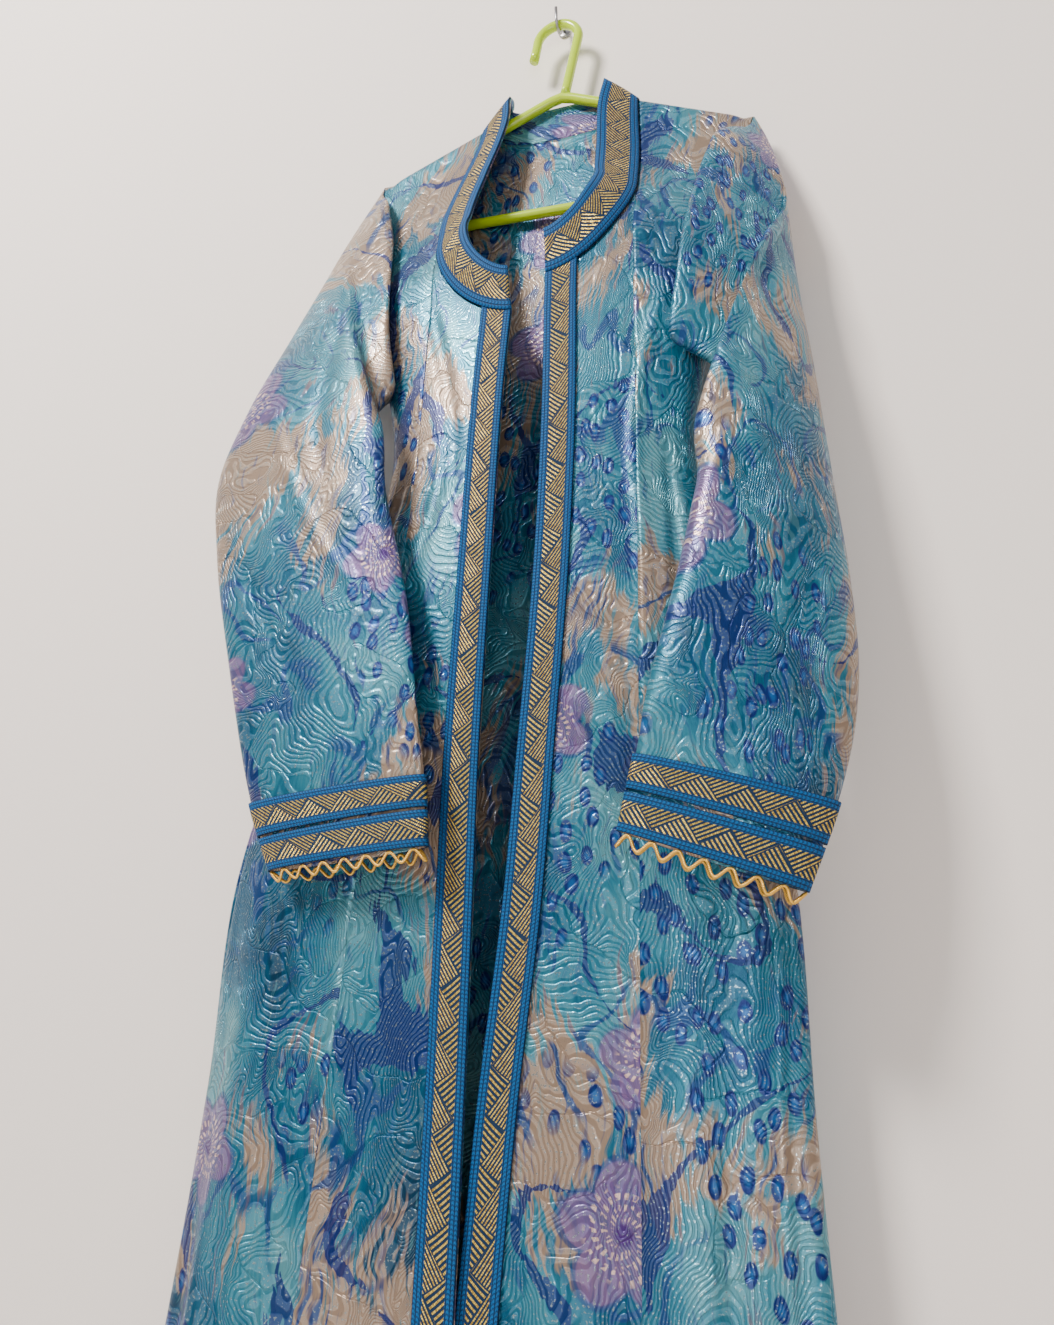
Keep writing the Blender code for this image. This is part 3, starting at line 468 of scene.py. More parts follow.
def back_top(x):
    """Height of the back panel's top: the shoulder seams and the shallow neck between them."""
    seam = 1.0 - math.cos(math.radians(SHOULDER_SEAM))
    height, upright = shoulder(x)
    near = np.abs(x - HANGER_X) / NECK_X
    edge, edge_upright = shoulder(HANGER_X + np.where(x < HANGER_X, -1, 1) * NECK_X)
    edge = edge - edge_upright * seam
    inside = BACK_NECK_Z + (edge - BACK_NECK_Z) * np.minimum(near, 1.0) ** 3
    return np.where(near >= 1.0, height - upright * seam, inside)


def back_surface(columns):
    """Back panel, from one armhole and side seam round to the other."""
    share = np.linspace(0.0, 1.0, columns)
    side = np.where(share <= 0.5, 1, -1)
    out = np.abs(1.0 - 2.0 * share)

    def turn_for(z):
        return math.pi - (armhole_turn(z) - 0.001) * out

    z = np.full(columns, -0.17)
    for _ in range(SETTLING):
        z = back_top(ring(side, z, turn_for(z))[..., 0])
    z = np.vstack([z, z - BACK_STEPS[0], heights(z - BACK_STEPS[1], BACK_ROWS, LOW_ROWS)])
    return body_surface(side, z, turn_for(z))


def armhole_edge(side, angle):
    """Point of the armhole seam; angle 0 is its top, the back lies below 0 and the front above."""
    angle = (angle + math.pi) % (2.0 * math.pi) - math.pi
    face = -1.0 if angle < 0.0 else 1.0
    edge = np.array([side * ARMHOLE_GAP, 0.0, 0.0])

    def x_at(z):
        return ring(side, z, armhole_turn(z))[..., 0]

    if abs(angle) <= TIP_ARC:
        return over_arm(x_at, face * 90.0 * abs(angle) / TIP_ARC) + edge
    start_z = over_arm(x_at, 90.0)[2]
    s = 0.5 * (1.0 - math.cos(math.pi * (abs(angle) - TIP_ARC) / (math.pi - TIP_ARC)))
    z = start_z + (UNDERARM_Z - start_z) * s
    turn = armhole_turn(z)
    return body_surface(side, z, turn if face > 0.0 else math.pi - turn) + edge


def sleeve_surface(side, ways, angles):
    """Grid of the sleeve's outer face; angle 0 is its outer edge and pi its inner edge."""
    edge = np.array([armhole_edge(side, a) for a in angles])
    values = [curve(SLEEVE[side], column, ways) for column in range(1, 8)]
    outer, inner = np.stack(values[0:3], -1), np.stack(values[3:6], -1)
    half = values[6][:, None, None]
    reach = 0.5 * (outer - inner)
    across = unit(reach)
    front = np.array([0.0, -1.0, 0.0])
    front = unit(front - across * (across @ front)[:, None])
    cos_a, sin_a = np.cos(angles)[None, :, None], np.sin(angles)[None, :, None]
    points = 0.5 * (outer + inner)[:, None] + reach[:, None] * cos_a + front[:, None] * half * sin_a
    blend = ease(ways / ARMHOLE_BLEND)[:, None, None]
    points = edge[None] * (1.0 - blend) + points * blend
    around = ease((angles - ROLL_FROM) / (ROLL_FULL - ROLL_FROM))
    around = around * ease((ROLL_TO - angles) / (ROLL_TO - ROLL_FADE))
    for way, span, shift_x, shift_y in SLEEVE_ROLLS[side]:
        amount = bell((ways - way) / span)[:, None] * around
        points = points + amount[..., None] * np.array([shift_x, shift_y, 0.0])
    normals = grid_normals(points, closed=True)
    depth = np.zeros(points.shape[:2])
    for row_side, way_a, angle_a, way_b, angle_b, width, deep in SLEEVE_CREASES:
        if row_side == side:
            t = (ways - way_a) / (way_b - way_a)
            fade = (ease(t / 0.3) * ease((1.0 - t) / 0.3))[:, None]
            line = (angle_a + (angle_b - angle_a) * np.clip(t, 0, 1))[:, None]
            depth = depth + deep * fade * bell((angles[None] - line) / width)
    middle = points.mean(axis=1, keepdims=True)
    outwards = np.sign(((points - middle) * normals).sum(-1).mean())
    return points - normals * outwards * depth[..., None]


def neck_seam(side, place):
    """Point of the neck seam; place runs from the front opening to the middle of the back."""
    turn_z = NECK_TURN_Z[side]
    if place <= FRONT_PLACE:
        far, near = seam_x(side, turn_z), opening_x(side, NECK_END_Z[side])
        x = near + (far - near) * math.sin(0.5 * math.pi * place / FRONT_PLACE)
        z = front_neck_z(side, x)
        return body_surface(side, z, turn_at(z, x, side))
    neck_x = np.float64(HANGER_X + side * NECK_X)
    if place <= ARM_PLACE:
        low_z = over_arm(lambda z: neck_x, 90.0)[2]
        z = turn_z + (low_z - turn_z) * (place - FRONT_PLACE) / (ARM_PLACE - FRONT_PLACE)
        return body_surface(side, z, turn_at(z, neck_edge_x(side, z), side))
    if place <= BACK_PLACE:
        share = (place - ARM_PLACE) / (BACK_PLACE - ARM_PLACE)
        return over_arm(lambda z: neck_x, 90.0 + (SHOULDER_SEAM - 90.0) * share)
    share = (place - BACK_PLACE) / (1.0 - BACK_PLACE)
    x = HANGER_X + side * NECK_X * math.cos(0.5 * math.pi * share)
    z = back_top(x)
    return body_surface(side, z, math.pi - turn_at(z, x, side))


def collar_surface(rises, steps):
    """Rows run up the collar; columns run from the left front end round to the right one."""
    columns = []
    for side, places in ((-1, np.linspace(0, 1, steps)), (1, np.linspace(1, 0, steps)[1:])):
        for place in places:
            base = neck_seam(side, place)
            first = unit(np.array([curve(COLLAR[side], c, place) for c in (1, 2, 3)]))
            last = unit(np.array([curve(COLLAR[side], c, place) for c in (4, 5, 6)]))
            r = np.array(rises)[:, None]
            columns.append(base + COLLAR_H * (r * first + 0.5 * r**2 * (last - first)))
    return np.array(columns).transpose(1, 0, 2)


def band_surface(side, columns):
    """Strip along a front edge, on the panel's own surface."""
    share = np.linspace(0.0, 1.0, columns)
    top = front_neck_z(side, opening_x(side, NECK_END_Z[side]) + side * BRAID_W * share) - BAND_TUCK
    z = heights(top, BAND_ROWS, BAND_LOW_ROWS)
    return body_surface(side, z, turn_at(z, opening_x(side, z) + side * BRAID_W * share, side))


# Meshes
def placed(name, data):
    """Object of a mesh, light or camera, in the scene."""
    made = bpy.data.objects.new(name, data)
    bpy.context.scene.collection.objects.link(made)
    return made


def joined(parts):
    """Joins meshes into the first of them."""
    bpy.ops.object.select_all(action="DESELECT")
    for part in parts:
        part.select_set(True)
    bpy.context.view_layer.objects.active = parts[0]
    bpy.ops.object.join()
    return parts[0]


def lengths(points, axis):
    """Length along the cloth from the first row or column to each point."""
    steps = np.linalg.norm(np.diff(points, axis=axis), axis=-1)
    pad = [(0, 0), (0, 0)]
    pad[axis] = (1, 0)
    return np.cumsum(np.pad(steps, pad), axis=axis)


def grid_mesh(name, points, uvs, material, closed=False):
    """Mesh of a grid of points, faces towards its outward side, with a map in metres."""
    rows, cols = points.shape[:2]
    if closed:
        points = np.concatenate([points, points[:, :1]], axis=1)
        cols += 1
    index = np.arange(rows * cols).reshape(rows, cols)
    quads = np.stack([index[:-1, :-1], index[1:, :-1], index[1:, 1:], index[:-1, 1:]], -1)
    quads = quads.reshape(-1, 4)
    mesh = bpy.data.meshes.new(name)
    mesh.from_pydata(points.reshape(-1, 3).tolist(), [], quads.tolist())
    layer = mesh.uv_layers.new(name="cloth")
    loops = np.zeros(len(mesh.loops), np.int32)
    mesh.loops.foreach_get("vertex_index", loops)
    layer.data.foreach_set("uv", uvs.reshape(-1, 2)[loops].astype(np.float32).ravel())
    mesh.shade_smooth()
    mesh.materials.append(material)
    return placed(name, mesh)


def flip_to(made, direction_of):
    """Turns the faces over if they look away from the side that is outwards."""
    mesh = made.data
    total = 0.0
    for index in range(0, len(mesh.polygons), max(1, len(mesh.polygons) // 400)):
        face = mesh.polygons[index]
        total += face.normal.dot(Vector(direction_of(np.array(face.center))))
    if total < 0.0:
        mesh.flip_normals()


def solid(made, thickness, outwards=False):
    """Gives a sheet its wall, inwards or outwards."""
    wall = made.modifiers.new("wall", "SOLIDIFY")
    wall.thickness = thickness
    wall.offset = 1.0 if outwards else -1.0
    wall.use_rim = True


def tube(name, path, radius, sides, material, closed=False):
    """Round tube along a path, with flat ends or closed into a loop."""
    path = np.array(path, float)
    count = len(path)
    across, rings = None, []
    for k in range(count):
        before = path[k - 1] if closed or k else path[0]
        after = path[(k + 1) % count] if closed or k < count - 1 else path[-1]
        ahead = unit(after - before)
        if across is None:
            helper = np.array([0.0, 1.0, 0.0]) if abs(ahead[1]) < 0.9 else np.array([1.0, 0, 0])
            across = unit(np.cross(ahead, helper))
        across = unit(across - ahead * (across @ ahead))
        other = np.cross(ahead, across)
        spin = 2.0 * math.pi * np.arange(sides)[:, None] / sides
        size = radius[k] if np.ndim(radius) else radius
        rings.append(path[k] + size * (np.cos(spin) * across + np.sin(spin) * other))
    points = np.array(rings)
    index = np.arange(count * sides).reshape(count, sides)
    ahead = np.roll(index, -1, axis=0) if closed else index[1:]
    here = index if closed else index[:-1]
    quads = np.stack([here, np.roll(here, -1, 1), np.roll(ahead, -1, 1), ahead], -1).reshape(-1, 4)
    faces = quads.tolist()
    if not closed:
        faces += [index[0, ::-1].tolist(), index[-1].tolist()]
    mesh = bpy.data.meshes.new(name)
    mesh.from_pydata(points.reshape(-1, 3).tolist(), [], faces)
    mesh.shade_smooth()
    mesh.materials.append(material)
    return placed(name, mesh)


# Shader groups
MIDDLE_GREY = (0.5, 0.5, 0.5)


class Graph:
    """Short calls that add and link shader nodes."""

    def __init__(self, tree):
        self.tree = tree

    def add(self, kind, **settings):
        node = self.tree.nodes.new(kind)
        for key, value in settings.items():
            setattr(node, key, value)
        return node

    def put(self, socket, value):
        if isinstance(value, bpy.types.NodeSocket):
            self.tree.links.new(value, socket)
        elif isinstance(value, (tuple, list)) and len(value) == 3 and socket.type == "RGBA":
            socket.default_value = (*value, 1.0)
        else:
            socket.default_value = value

    def math(self, operation, a, b=0.0, c=0.0):
        node = self.add("ShaderNodeMath", operation=operation)
        for socket, value in zip(node.inputs, (a, b, c)):
            self.put(socket, value)
        return node.outputs[0]

    def vector(self, operation, a, b=(0.0, 0.0, 0.0), scale=None):
        node = self.add("ShaderNodeVectorMath", operation=operation)
        self.put(node.inputs[0], a)
        self.put(node.inputs[1], b)
        if scale is not None:
            self.put(node.inputs["Scale"], scale)
        return node.outputs["Value" if operation in ("LENGTH", "DOT_PRODUCT") else "Vector"]

    def apart(self, a, b):
        return self.math("ABSOLUTE", self.math("SUBTRACT", a, b))

    def pushed(self, vector, push, amount):
        return self.vector("ADD", vector, self.vector("SCALE", push, scale=amount))

    def noise(self, vector, scale, detail=2.0, rough=0.5, distortion=0.0, output="Fac"):
        node = self.add("ShaderNodeTexNoise", noise_dimensions="3D")
        self.put(node.inputs["Vector"], vector)
        for name, value in (("Scale", scale), ("Detail", detail), ("Roughness", rough),
                            ("Distortion", distortion)):
            self.put(node.inputs[name], value)
        return node.outputs[output]

    def drift(self, vector, scale, detail):
        return self.vector("SUBTRACT", self.noise(vector, scale, detail, output="Color"), MIDDLE_GREY)

    def step(self, value, low, high, to_low=0.0, to_high=1.0):
        node = self.add("ShaderNodeMapRange", interpolation_type="SMOOTHSTEP")
        for name, v in (("Value", value), ("From Min", low), ("From Max", high),
                        ("To Min", to_low), ("To Max", to_high)):
            self.put(node.inputs[name], v)
        return node.outputs[0]

    def mix(self, mask, a, b, blend="MIX"):
        node = self.add("ShaderNodeMix", data_type="RGBA", blend_type=blend)
        self.put(node.inputs[0], mask)
        self.put(node.inputs[6], a)
        self.put(node.inputs[7], b)
        return node.outputs[2]

    def ramp(self, value, stops):
        node = self.add("ShaderNodeValToRGB")
        self.put(node.inputs[0], value)
        ramp = node.color_ramp
        while len(ramp.elements) < len(stops):
            ramp.elements.new(0.5)
        for element, (place, color) in zip(ramp.elements, stops):
            element.position = place
            element.color = (*color, 1.0)
        return node.outputs[0]

    def turned(self, vector, lean, size):
        node = self.add("ShaderNodeMapping")
        node.inputs["Rotation"].default_value = (0.0, 0.0, lean)
        node.inputs["Scale"].default_value = size
        self.put(node.inputs[0], vector)
        return node.outputs[0]

    def cells(self, vector, scale, randomness):
        node = self.add("ShaderNodeTexVoronoi", voronoi_dimensions="2D")
        self.put(node.inputs["Vector"], vector)
        node.inputs["Scale"].default_value = scale
        node.inputs["Randomness"].default_value = randomness
        return node.outputs

    def relief(self, shader, height, strength, depth):
        node = self.add("ShaderNodeBump")
        node.inputs["Strength"].default_value = strength
        node.inputs["Distance"].default_value = depth
        self.put(node.inputs["Height"], height)
        self.put(shader.inputs["Normal"], node.outputs[0])

    def split(self, vector):
        node = self.add("ShaderNodeSeparateXYZ")
        self.put(node.inputs[0], vector)
        return node.outputs

    def join(self, x, y, z=0.0):
        node = self.add("ShaderNodeCombineXYZ")
        for socket, value in zip(node.inputs, (x, y, z)):
            self.put(socket, value)
        return node.outputs[0]

    def stretched(self, vector, size, shift=(0.0, 0.0, 0.0)):
        return self.vector("ADD", self.vector("MULTIPLY", vector, size), shift)


def new_group(name, inputs, outputs):
    """Node group with named sockets; returns it with its graph, inputs and outputs."""
    tree = bpy.data.node_groups.new(name, "ShaderNodeTree")
    for title, kind in inputs:
        tree.interface.new_socket(name=title, in_out="INPUT", socket_type=kind)
    for title, kind in outputs:
        tree.interface.new_socket(name=title, in_out="OUTPUT", socket_type=kind)
    start = tree.nodes.new("NodeGroupInput")
    end = tree.nodes.new("NodeGroupOutput")
    return tree, Graph(tree), start.outputs, end.inputs


VECTOR, VALUE, COLOR = "NodeSocketVector", "NodeSocketFloat", "NodeSocketColor"
# Dyes of the print
TEAL = (0.001, 0.036, 0.088)
TURQUOISE = (0.003, 0.095, 0.190)
AQUA = (0.018, 0.195, 0.290)
PALE = (0.100, 0.320, 0.380)
CREAM = (0.310, 0.230, 0.165)
SAND = (0.370, 0.255, 0.180)
ROYAL = (0.001, 0.017, 0.150)
DEEP = (0.001, 0.044, 0.190)
LILAC = (0.125, 0.068, 0.280)
PINK = (0.280, 0.155, 0.290)
PLUM = (0.070, 0.022, 0.180)
INK_LIGHT = (0.003, 0.100, 0.340)
DASH_CREAM = (0.72, 0.50, 0.45)
# Print: how far its forms waver, brush strokes, and forms across and down in a metre
WAVER_WIDE, WAVER_FINE, WAVER_DOT, WAVER_FLOWER = 0.14, 0.022, 0.012, 0.010
BRUSH_LEANS = (0.75, -0.55)
BRUSH_SIZE = (240.0, 24.0, 1.0)
BRUSH_STRENGTH = 0.34
PATCHES = (9.0, 6.0, 1.0)
CREAM_PATCHES = (10.0, 6.5, 1.0)
DEEP_PATCHES = (12.0, 8.0, 1.0)
BROAD_LINES = (7.0, 5.5, 1.0)
THIN_LINES = (17.0, 12.0, 1.0)
DOT_PATCHES = (8.0, 5.0, 1.0)
DOT_LEAN = 0.45
DOTS = (62.0, 38.0, 1.0)
FLOWERS = 6.0
FLOWER_R, FLOWER_R_SPREAD = 0.033, 0.010
HALF_PETALS = 2.5
RAYS, BEADS = 24.0, 900.0


def build_print():
    """Loose watercolour print of patches, strokes, oval dots and flowers."""
    tree, g, start, end = new_group("watercolour_print", [("Vector", VECTOR)], [("Color", COLOR)])
    p = start["Vector"]
    wide, fine = g.drift(p, 5.0, 1.0), g.drift(p, 24.0, 2.0)
    q = g.pushed(g.pushed(p, wide, WAVER_WIDE), fine, WAVER_FINE)
    streaks = [g.noise(g.turned(q, lean, BRUSH_SIZE), 1.0, 2.0) for lean in BRUSH_LEANS]
    side = g.step(g.noise(p, 8.0, 1.0), 0.46, 0.54)
    streak = g.math("ADD", g.math("MULTIPLY", streaks[0], side),
                    g.math("MULTIPLY", streaks[1], g.math("SUBTRACT", 1.0, side)))
    brush = g.math("MULTIPLY", g.math("SUBTRACT", streak, 0.5), BRUSH_STRENGTH)
    tone = g.math("ADD", g.noise(g.stretched(q, PATCHES), 1.0, 3.0, 0.6), brush)
    color = g.ramp(tone, ((0.30, TEAL), (0.42, TURQUOISE), (0.53, AQUA), (0.66, PALE)))
    cream = g.noise(g.stretched(q, CREAM_PATCHES, (4.0, 2.0, 3.0)), 1.0, 2.0)
    cream = g.step(g.math("ADD", cream, brush), 0.535, 0.575)
    color = g.mix(cream, color, g.mix(g.noise(q, 18.0, 2.0), CREAM, SAND))
    color = g.mix(g.step(streak, 0.57, 0.66, 0.0, 0.55), color, DEEP)
    color = g.mix(g.step(streak, 0.40, 0.31, 0.0, 0.40), color, PALE)
    deep = g.noise(g.stretched(q, DEEP_PATCHES, (9.0, 1.0, 7.0)), 1.0, 3.0, 0.6)
    deep = g.step(g.math("ADD", deep, g.math("MULTIPLY", brush, 1.6)), 0.62, 0.70, 0.0, 0.85)
    color = g.mix(deep, color, DEEP)
    line = g.apart(g.noise(g.stretched(q, BROAD_LINES, (2.0, 8.0, 1.0)), 1.0, 1.0, 0.4), 0.5)
    gate = g.noise(p, 11.0, 1.0)
    width = g.step(gate, 0.43, 0.60, 0.0, 0.015)
    stroke = g.math("LESS_THAN", line, g.math("MULTIPLY_ADD", brush, 0.08, width))
    color = g.mix(g.math("MULTIPLY", stroke, 0.9), color, ROYAL)
    thin = g.apart(g.noise(g.stretched(q, THIN_LINES, (5.0, 5.0, 9.0)), 1.0, 1.0, 0.4), 0.5)
    thin = g.math("SUBTRACT", thin, g.math("MULTIPLY", brush, 0.10))
    thin = g.step(thin, 0.010, 0.020, 1.0, 0.0)
    thin = g.math("MULTIPLY", thin, g.step(gate, 0.52, 0.44, 0.0, 0.9))
    color = g.mix(thin, color, DEEP)
    dots = g.cells(g.turned(g.pushed(p, fine, WAVER_DOT), DOT_LEAN, DOTS), 1.0, 0.75)
    ink = g.step(dots["Distance"], 0.24, 0.30, 1.0, 0.0)
    place = g.noise(g.stretched(p, DOT_PATCHES, (1.0, 6.0, 2.0)), 1.0, 1.0)
    ink = g.math("MULTIPLY", ink, g.step(place, 0.51, 0.55))
    color = g.mix(ink, color, g.mix(g.step(dots["Distance"], 0.04, 0.20), INK_LIGHT, ROYAL))
    swayed = g.pushed(p, fine, WAVER_FLOWER)
    cells = g.cells(swayed, FLOWERS, 0.85)
    away = g.vector("MULTIPLY", g.vector("SUBTRACT", swayed, cells["Position"]), (1.0, 1.0, 0.0))
    radius = g.vector("LENGTH", away)
    x, y, _ = g.split(away)
    angle = g.math("ARCTAN2", y, x)
    chance, spin, size = g.split(cells["Color"])
    reach = g.math("MULTIPLY_ADD", size, FLOWER_R_SPREAD, FLOWER_R)
    petals = g.math("MULTIPLY_ADD", angle, HALF_PETALS, g.math("MULTIPLY", spin, 6.0))
    petals = g.math("ABSOLUTE", g.math("COSINE", petals))
    edge = g.math("MULTIPLY", reach, g.math("MULTIPLY_ADD", petals, 0.34, 0.66))
    flower = g.step(g.math("SUBTRACT", edge, radius), -0.001, 0.002)
    shown = g.math("GREATER_THAN", chance, 0.42)
    tint = g.mix(g.noise(q, 30.0, 2.0), LILAC, PINK)
    tint = g.mix(g.step(streak, 0.45, 0.60, 0.0, 0.45), tint, DEEP)
    color = g.mix(g.math("MULTIPLY", g.math("MULTIPLY", flower, shown), 0.85), color, tint)
    rim = g.step(g.apart(edge, radius), 0.0012, 0.0028, 1.0, 0.0)
    rim = g.math("MULTIPLY", g.math("MULTIPLY", rim, shown), g.step(gate, 0.36, 0.52, 0.25, 1.0))
    color = g.mix(g.math("MULTIPLY", rim, 0.7), color, DEEP)
    rays = g.math("SINE", g.math("MULTIPLY_ADD", angle, RAYS, g.math("MULTIPLY", tone, 9.0)))
    beads = g.math("SINE", g.math("MULTIPLY_ADD", radius, BEADS, g.math("MULTIPLY", angle, 5.0)))
    dashes = g.math("MULTIPLY", g.step(rays, -0.1, 0.3), g.step(beads, -0.5, 0.1))
    inner = g.math("DIVIDE", radius, reach)
    dashes = g.math("MULTIPLY", dashes, g.step(inner, 0.66, 0.5))
    dashes = g.math("MULTIPLY", g.math("MULTIPLY", dashes, g.step(inner, 0.14, 0.22)), shown)
    dashes = g.math("MULTIPLY", dashes, g.step(g.noise(p, 240.0, 1.0), 0.38, 0.50))
    color = g.mix(dashes, color, DASH_CREAM)
    core = g.math("MULTIPLY", g.step(inner, 0.18, 0.10), shown)
    color = g.mix(core, color, PLUM)
    g.put(end["Color"], color)
    return tree


# Weave: how far its lines waver, lines in a full swing of the noise, threads in a metre
WEAVE_WAVER, WEAVE_SHIVER = 0.045, 0.006
FLOW_LINES, LEAF_LINES = 340.0, 155.0
WEAVE_THREADS = (1400.0, 420.0, 1.0)


def build_jacquard():
    """Raised contour lines and swirls woven into the cloth."""
    tree, g, start, end = new_group("jacquard_relief", [("Vector", VECTOR)],
                                    [("Height", VALUE), ("Ridge", VALUE), ("Thread", VALUE)])
    p = start["Vector"]
    q = g.pushed(p, g.drift(p, 16.0, 1.0), WEAVE_WAVER)
    q = g.pushed(q, g.drift(p, 70.0, 1.0), WEAVE_SHIVER)
    flow = g.noise(g.stretched(q, (1.0, 0.5, 1.0)), 13.0, 0.0)
    flow = g.math("SINE", g.math("MULTIPLY", flow, FLOW_LINES))
    leaf = g.noise(g.stretched(q, (1.0, 0.6, 1.0), (3.0, 1.0, 5.0)), 26.0, 0.0, 0.5, 0.8)
    veins = g.math("SINE", g.math("MULTIPLY", leaf, LEAF_LINES))
    field = g.noise(q, 17.0, 0.0)
    area = g.step(field, 0.50, 0.515)
    ridge = g.math("ADD", g.math("MULTIPLY", flow, g.math("SUBTRACT", 1.0, area)),
                   g.math("MULTIPLY", veins, area))
    border = g.step(g.apart(field, 0.508), 0.004, 0.010, 1.0, 0.0)
    ridge = g.math("SUBTRACT", g.step(ridge, -0.75, 0.55), border)
    thread = g.noise(g.stretched(p, WEAVE_THREADS), 1.0, 1.0)
    g.put(end["Height"], g.math("MULTIPLY_ADD", thread, 0.35, ridge))
    g.put(end["Ridge"], g.step(ridge, 0.0, 1.0))
    g.put(end["Thread"], thread)
    return tree


# Braid: half length of its zigzag, pitches along it of the slanting threads, their twist and stitches
ZIGZAG_HALF = 0.0145
DASH_PITCH = 0.0040
TWIST_PITCH = 0.0016
STITCH_PITCH = 0.0026
STITCH_LEAN = 0.0022
DASH_SLANT = 1.15


def build_braid():
    """Knitted braid: plain borders and slanting metallic threads that change direction."""
    tree, g, start, end = new_group("braid_pattern", [("Vector", VECTOR), ("Width", VALUE)],
                                    [("Gold", VALUE), ("Height", VALUE), ("Shade", VALUE)])
    x, y, _ = g.split(start["Vector"])
    share = g.math("DIVIDE", x, start["Width"])
    centre = g.step(g.apart(share, 0.5), 0.275, 0.262)
    wave = g.math("PINGPONG", g.math("DIVIDE", y, ZIGZAG_HALF), 1.0)
    inside = g.math("DIVIDE", g.math("SUBTRACT", share, 0.25), 0.5)
    way = g.math("MULTIPLY_ADD", g.math("GREATER_THAN", inside, wave), 2.0, -1.0)
    slant = g.math("MULTIPLY_ADD", g.math("MULTIPLY", x, way), DASH_SLANT, y)
    strand = g.math("SINE", g.math("MULTIPLY", slant, 2.0 * math.pi / DASH_PITCH))
    twist = g.math("MULTIPLY_ADD", g.math("MULTIPLY", x, way), -1.0, y)
    twist = g.math("SINE", g.math("MULTIPLY", twist, 2.0 * math.pi / TWIST_PITCH))
    parted = g.step(g.apart(inside, wave), 0.02, 0.07)
    gold = g.math("MULTIPLY", g.step(strand, 0.05, 0.45), g.math("MULTIPLY", centre, parted))
    gold = g.math("MULTIPLY", gold, g.step(twist, -0.9, -0.1, 0.45, 1.0))
    column = g.math("PINGPONG", g.math("MULTIPLY", share, 10.0), 0.5)
    lean = g.math("MULTIPLY_ADD", column, STITCH_LEAN, y)
    knit = g.math("SINE", g.math("MULTIPLY", lean, 2.0 * math.pi / STITCH_PITCH))
    # Border of knit stitches, with painted shade darkening the gaps between its stitch columns and
    # rows; it also raises the relief.
    border = g.math("MULTIPLY", g.step(column, 0.02, 0.20), g.step(knit, -0.9, 0.3, 0.35, 1.0))
    dashes = g.math("MULTIPLY_ADD", twist, 0.15, g.math("MULTIPLY", gold, 0.9))
    border = g.math("MULTIPLY", border, g.math("SUBTRACT", 1.0, centre))
    g.put(end["Gold"], gold)
    g.put(end["Height"], g.math("ADD", g.math("MULTIPLY", dashes, centre), border))
    g.put(end["Shade"], border)
    return tree


# Finishes
# The first colour is a painted sheen for the woven ridges' crests, the second a painted glint colour
# for spots of metallic thread.
PAINTED_SHEEN, PAINTED_GLINT = (0.45, 0.62, 0.68), (0.55, 0.70, 0.74)
CLOTH_RELIEF, CLOTH_RELIEF_DEPTH = 0.85, 0.00045
# The first colour is the braid's dark ground and also the painted shade between the border's knit
# stitches; the second is the knit's blue.
KNIT_GROUND_AND_SHADE, KNIT_BLUE = (0.001, 0.020, 0.060), (0.001, 0.092, 0.290)
BRIGHT_GOLD, OLD_GOLD = (1.00, 0.72, 0.13), (0.50, 0.30, 0.04)
BRAID_RELIEF, BRAID_RELIEF_DEPTH = 0.9, 0.0008
PAINT, PAINT_ROUGHNESS = (0.86, 0.80, 0.75), 0.85


def new_material(name):
    made = bpy.data.materials.new(name)
    made.use_nodes = True
    graph = Graph(made.node_tree)
    return made, graph, made.node_tree.nodes["Principled BSDF"]


def use_group(graph, tree, **values):
    node = graph.add("ShaderNodeGroup", node_tree=tree)
    for name, value in values.items():
        graph.put(node.inputs[name], value)
    return node.outputs


def cloth_material(name, print_group, relief_group):
    """Printed satin with its woven lines raised, painted sheen on their crests, painted shade in the
    grooves between them, and metallic threads with painted glints.
    """
    made, g, shader = new_material(name)
    where = g.add("ShaderNodeUVMap", uv_map="cloth").outputs[0]
    printed = use_group(g, print_group, Vector=where)
    relief = use_group(g, relief_group, Vector=where)
    # Painted sheen: the print is mixed a little towards a pale colour on the woven ridges.
    shade = g.mix(g.math("MULTIPLY", relief["Ridge"], 0.06), printed["Color"], PAINTED_SHEEN)
    # Painted shade: the grooves between the woven ridges are darkened down to 0.74 of the colour.
    painted_groove_shade = g.step(relief["Ridge"], 0.0, 0.6, 0.74, 1.0)
    shade = g.mix(1.0, shade, g.join(painted_groove_shade, painted_groove_shade, painted_groove_shade), "MULTIPLY")
    # Spots of metallic thread on the ridges: painted glint in the colour, and the spots are also made
    # smoother and more metallic.
    glint = g.step(g.noise(where, 520.0, 1.0), 0.58, 0.66)
    glint = g.math("MULTIPLY", glint, relief["Ridge"])
    # Painted glint: the colour is mixed towards a pale colour at these spots.
    shade = g.mix(g.math("MULTIPLY", glint, 0.42), shade, PAINTED_GLINT)
    g.put(shader.inputs["Base Color"], shade)
    rough = g.math("MULTIPLY_ADD", relief["Thread"], 0.22, 0.22)
    g.put(shader.inputs["Roughness"], g.math("MULTIPLY_ADD", glint, -0.10, rough))
    g.put(shader.inputs["Metallic"], g.math("MULTIPLY_ADD", glint, 0.45, 0.40))
    shader.inputs["Specular IOR Level"].default_value = 0.35
    g.relief(shader, relief["Height"], CLOTH_RELIEF, CLOTH_RELIEF_DEPTH)
    return made


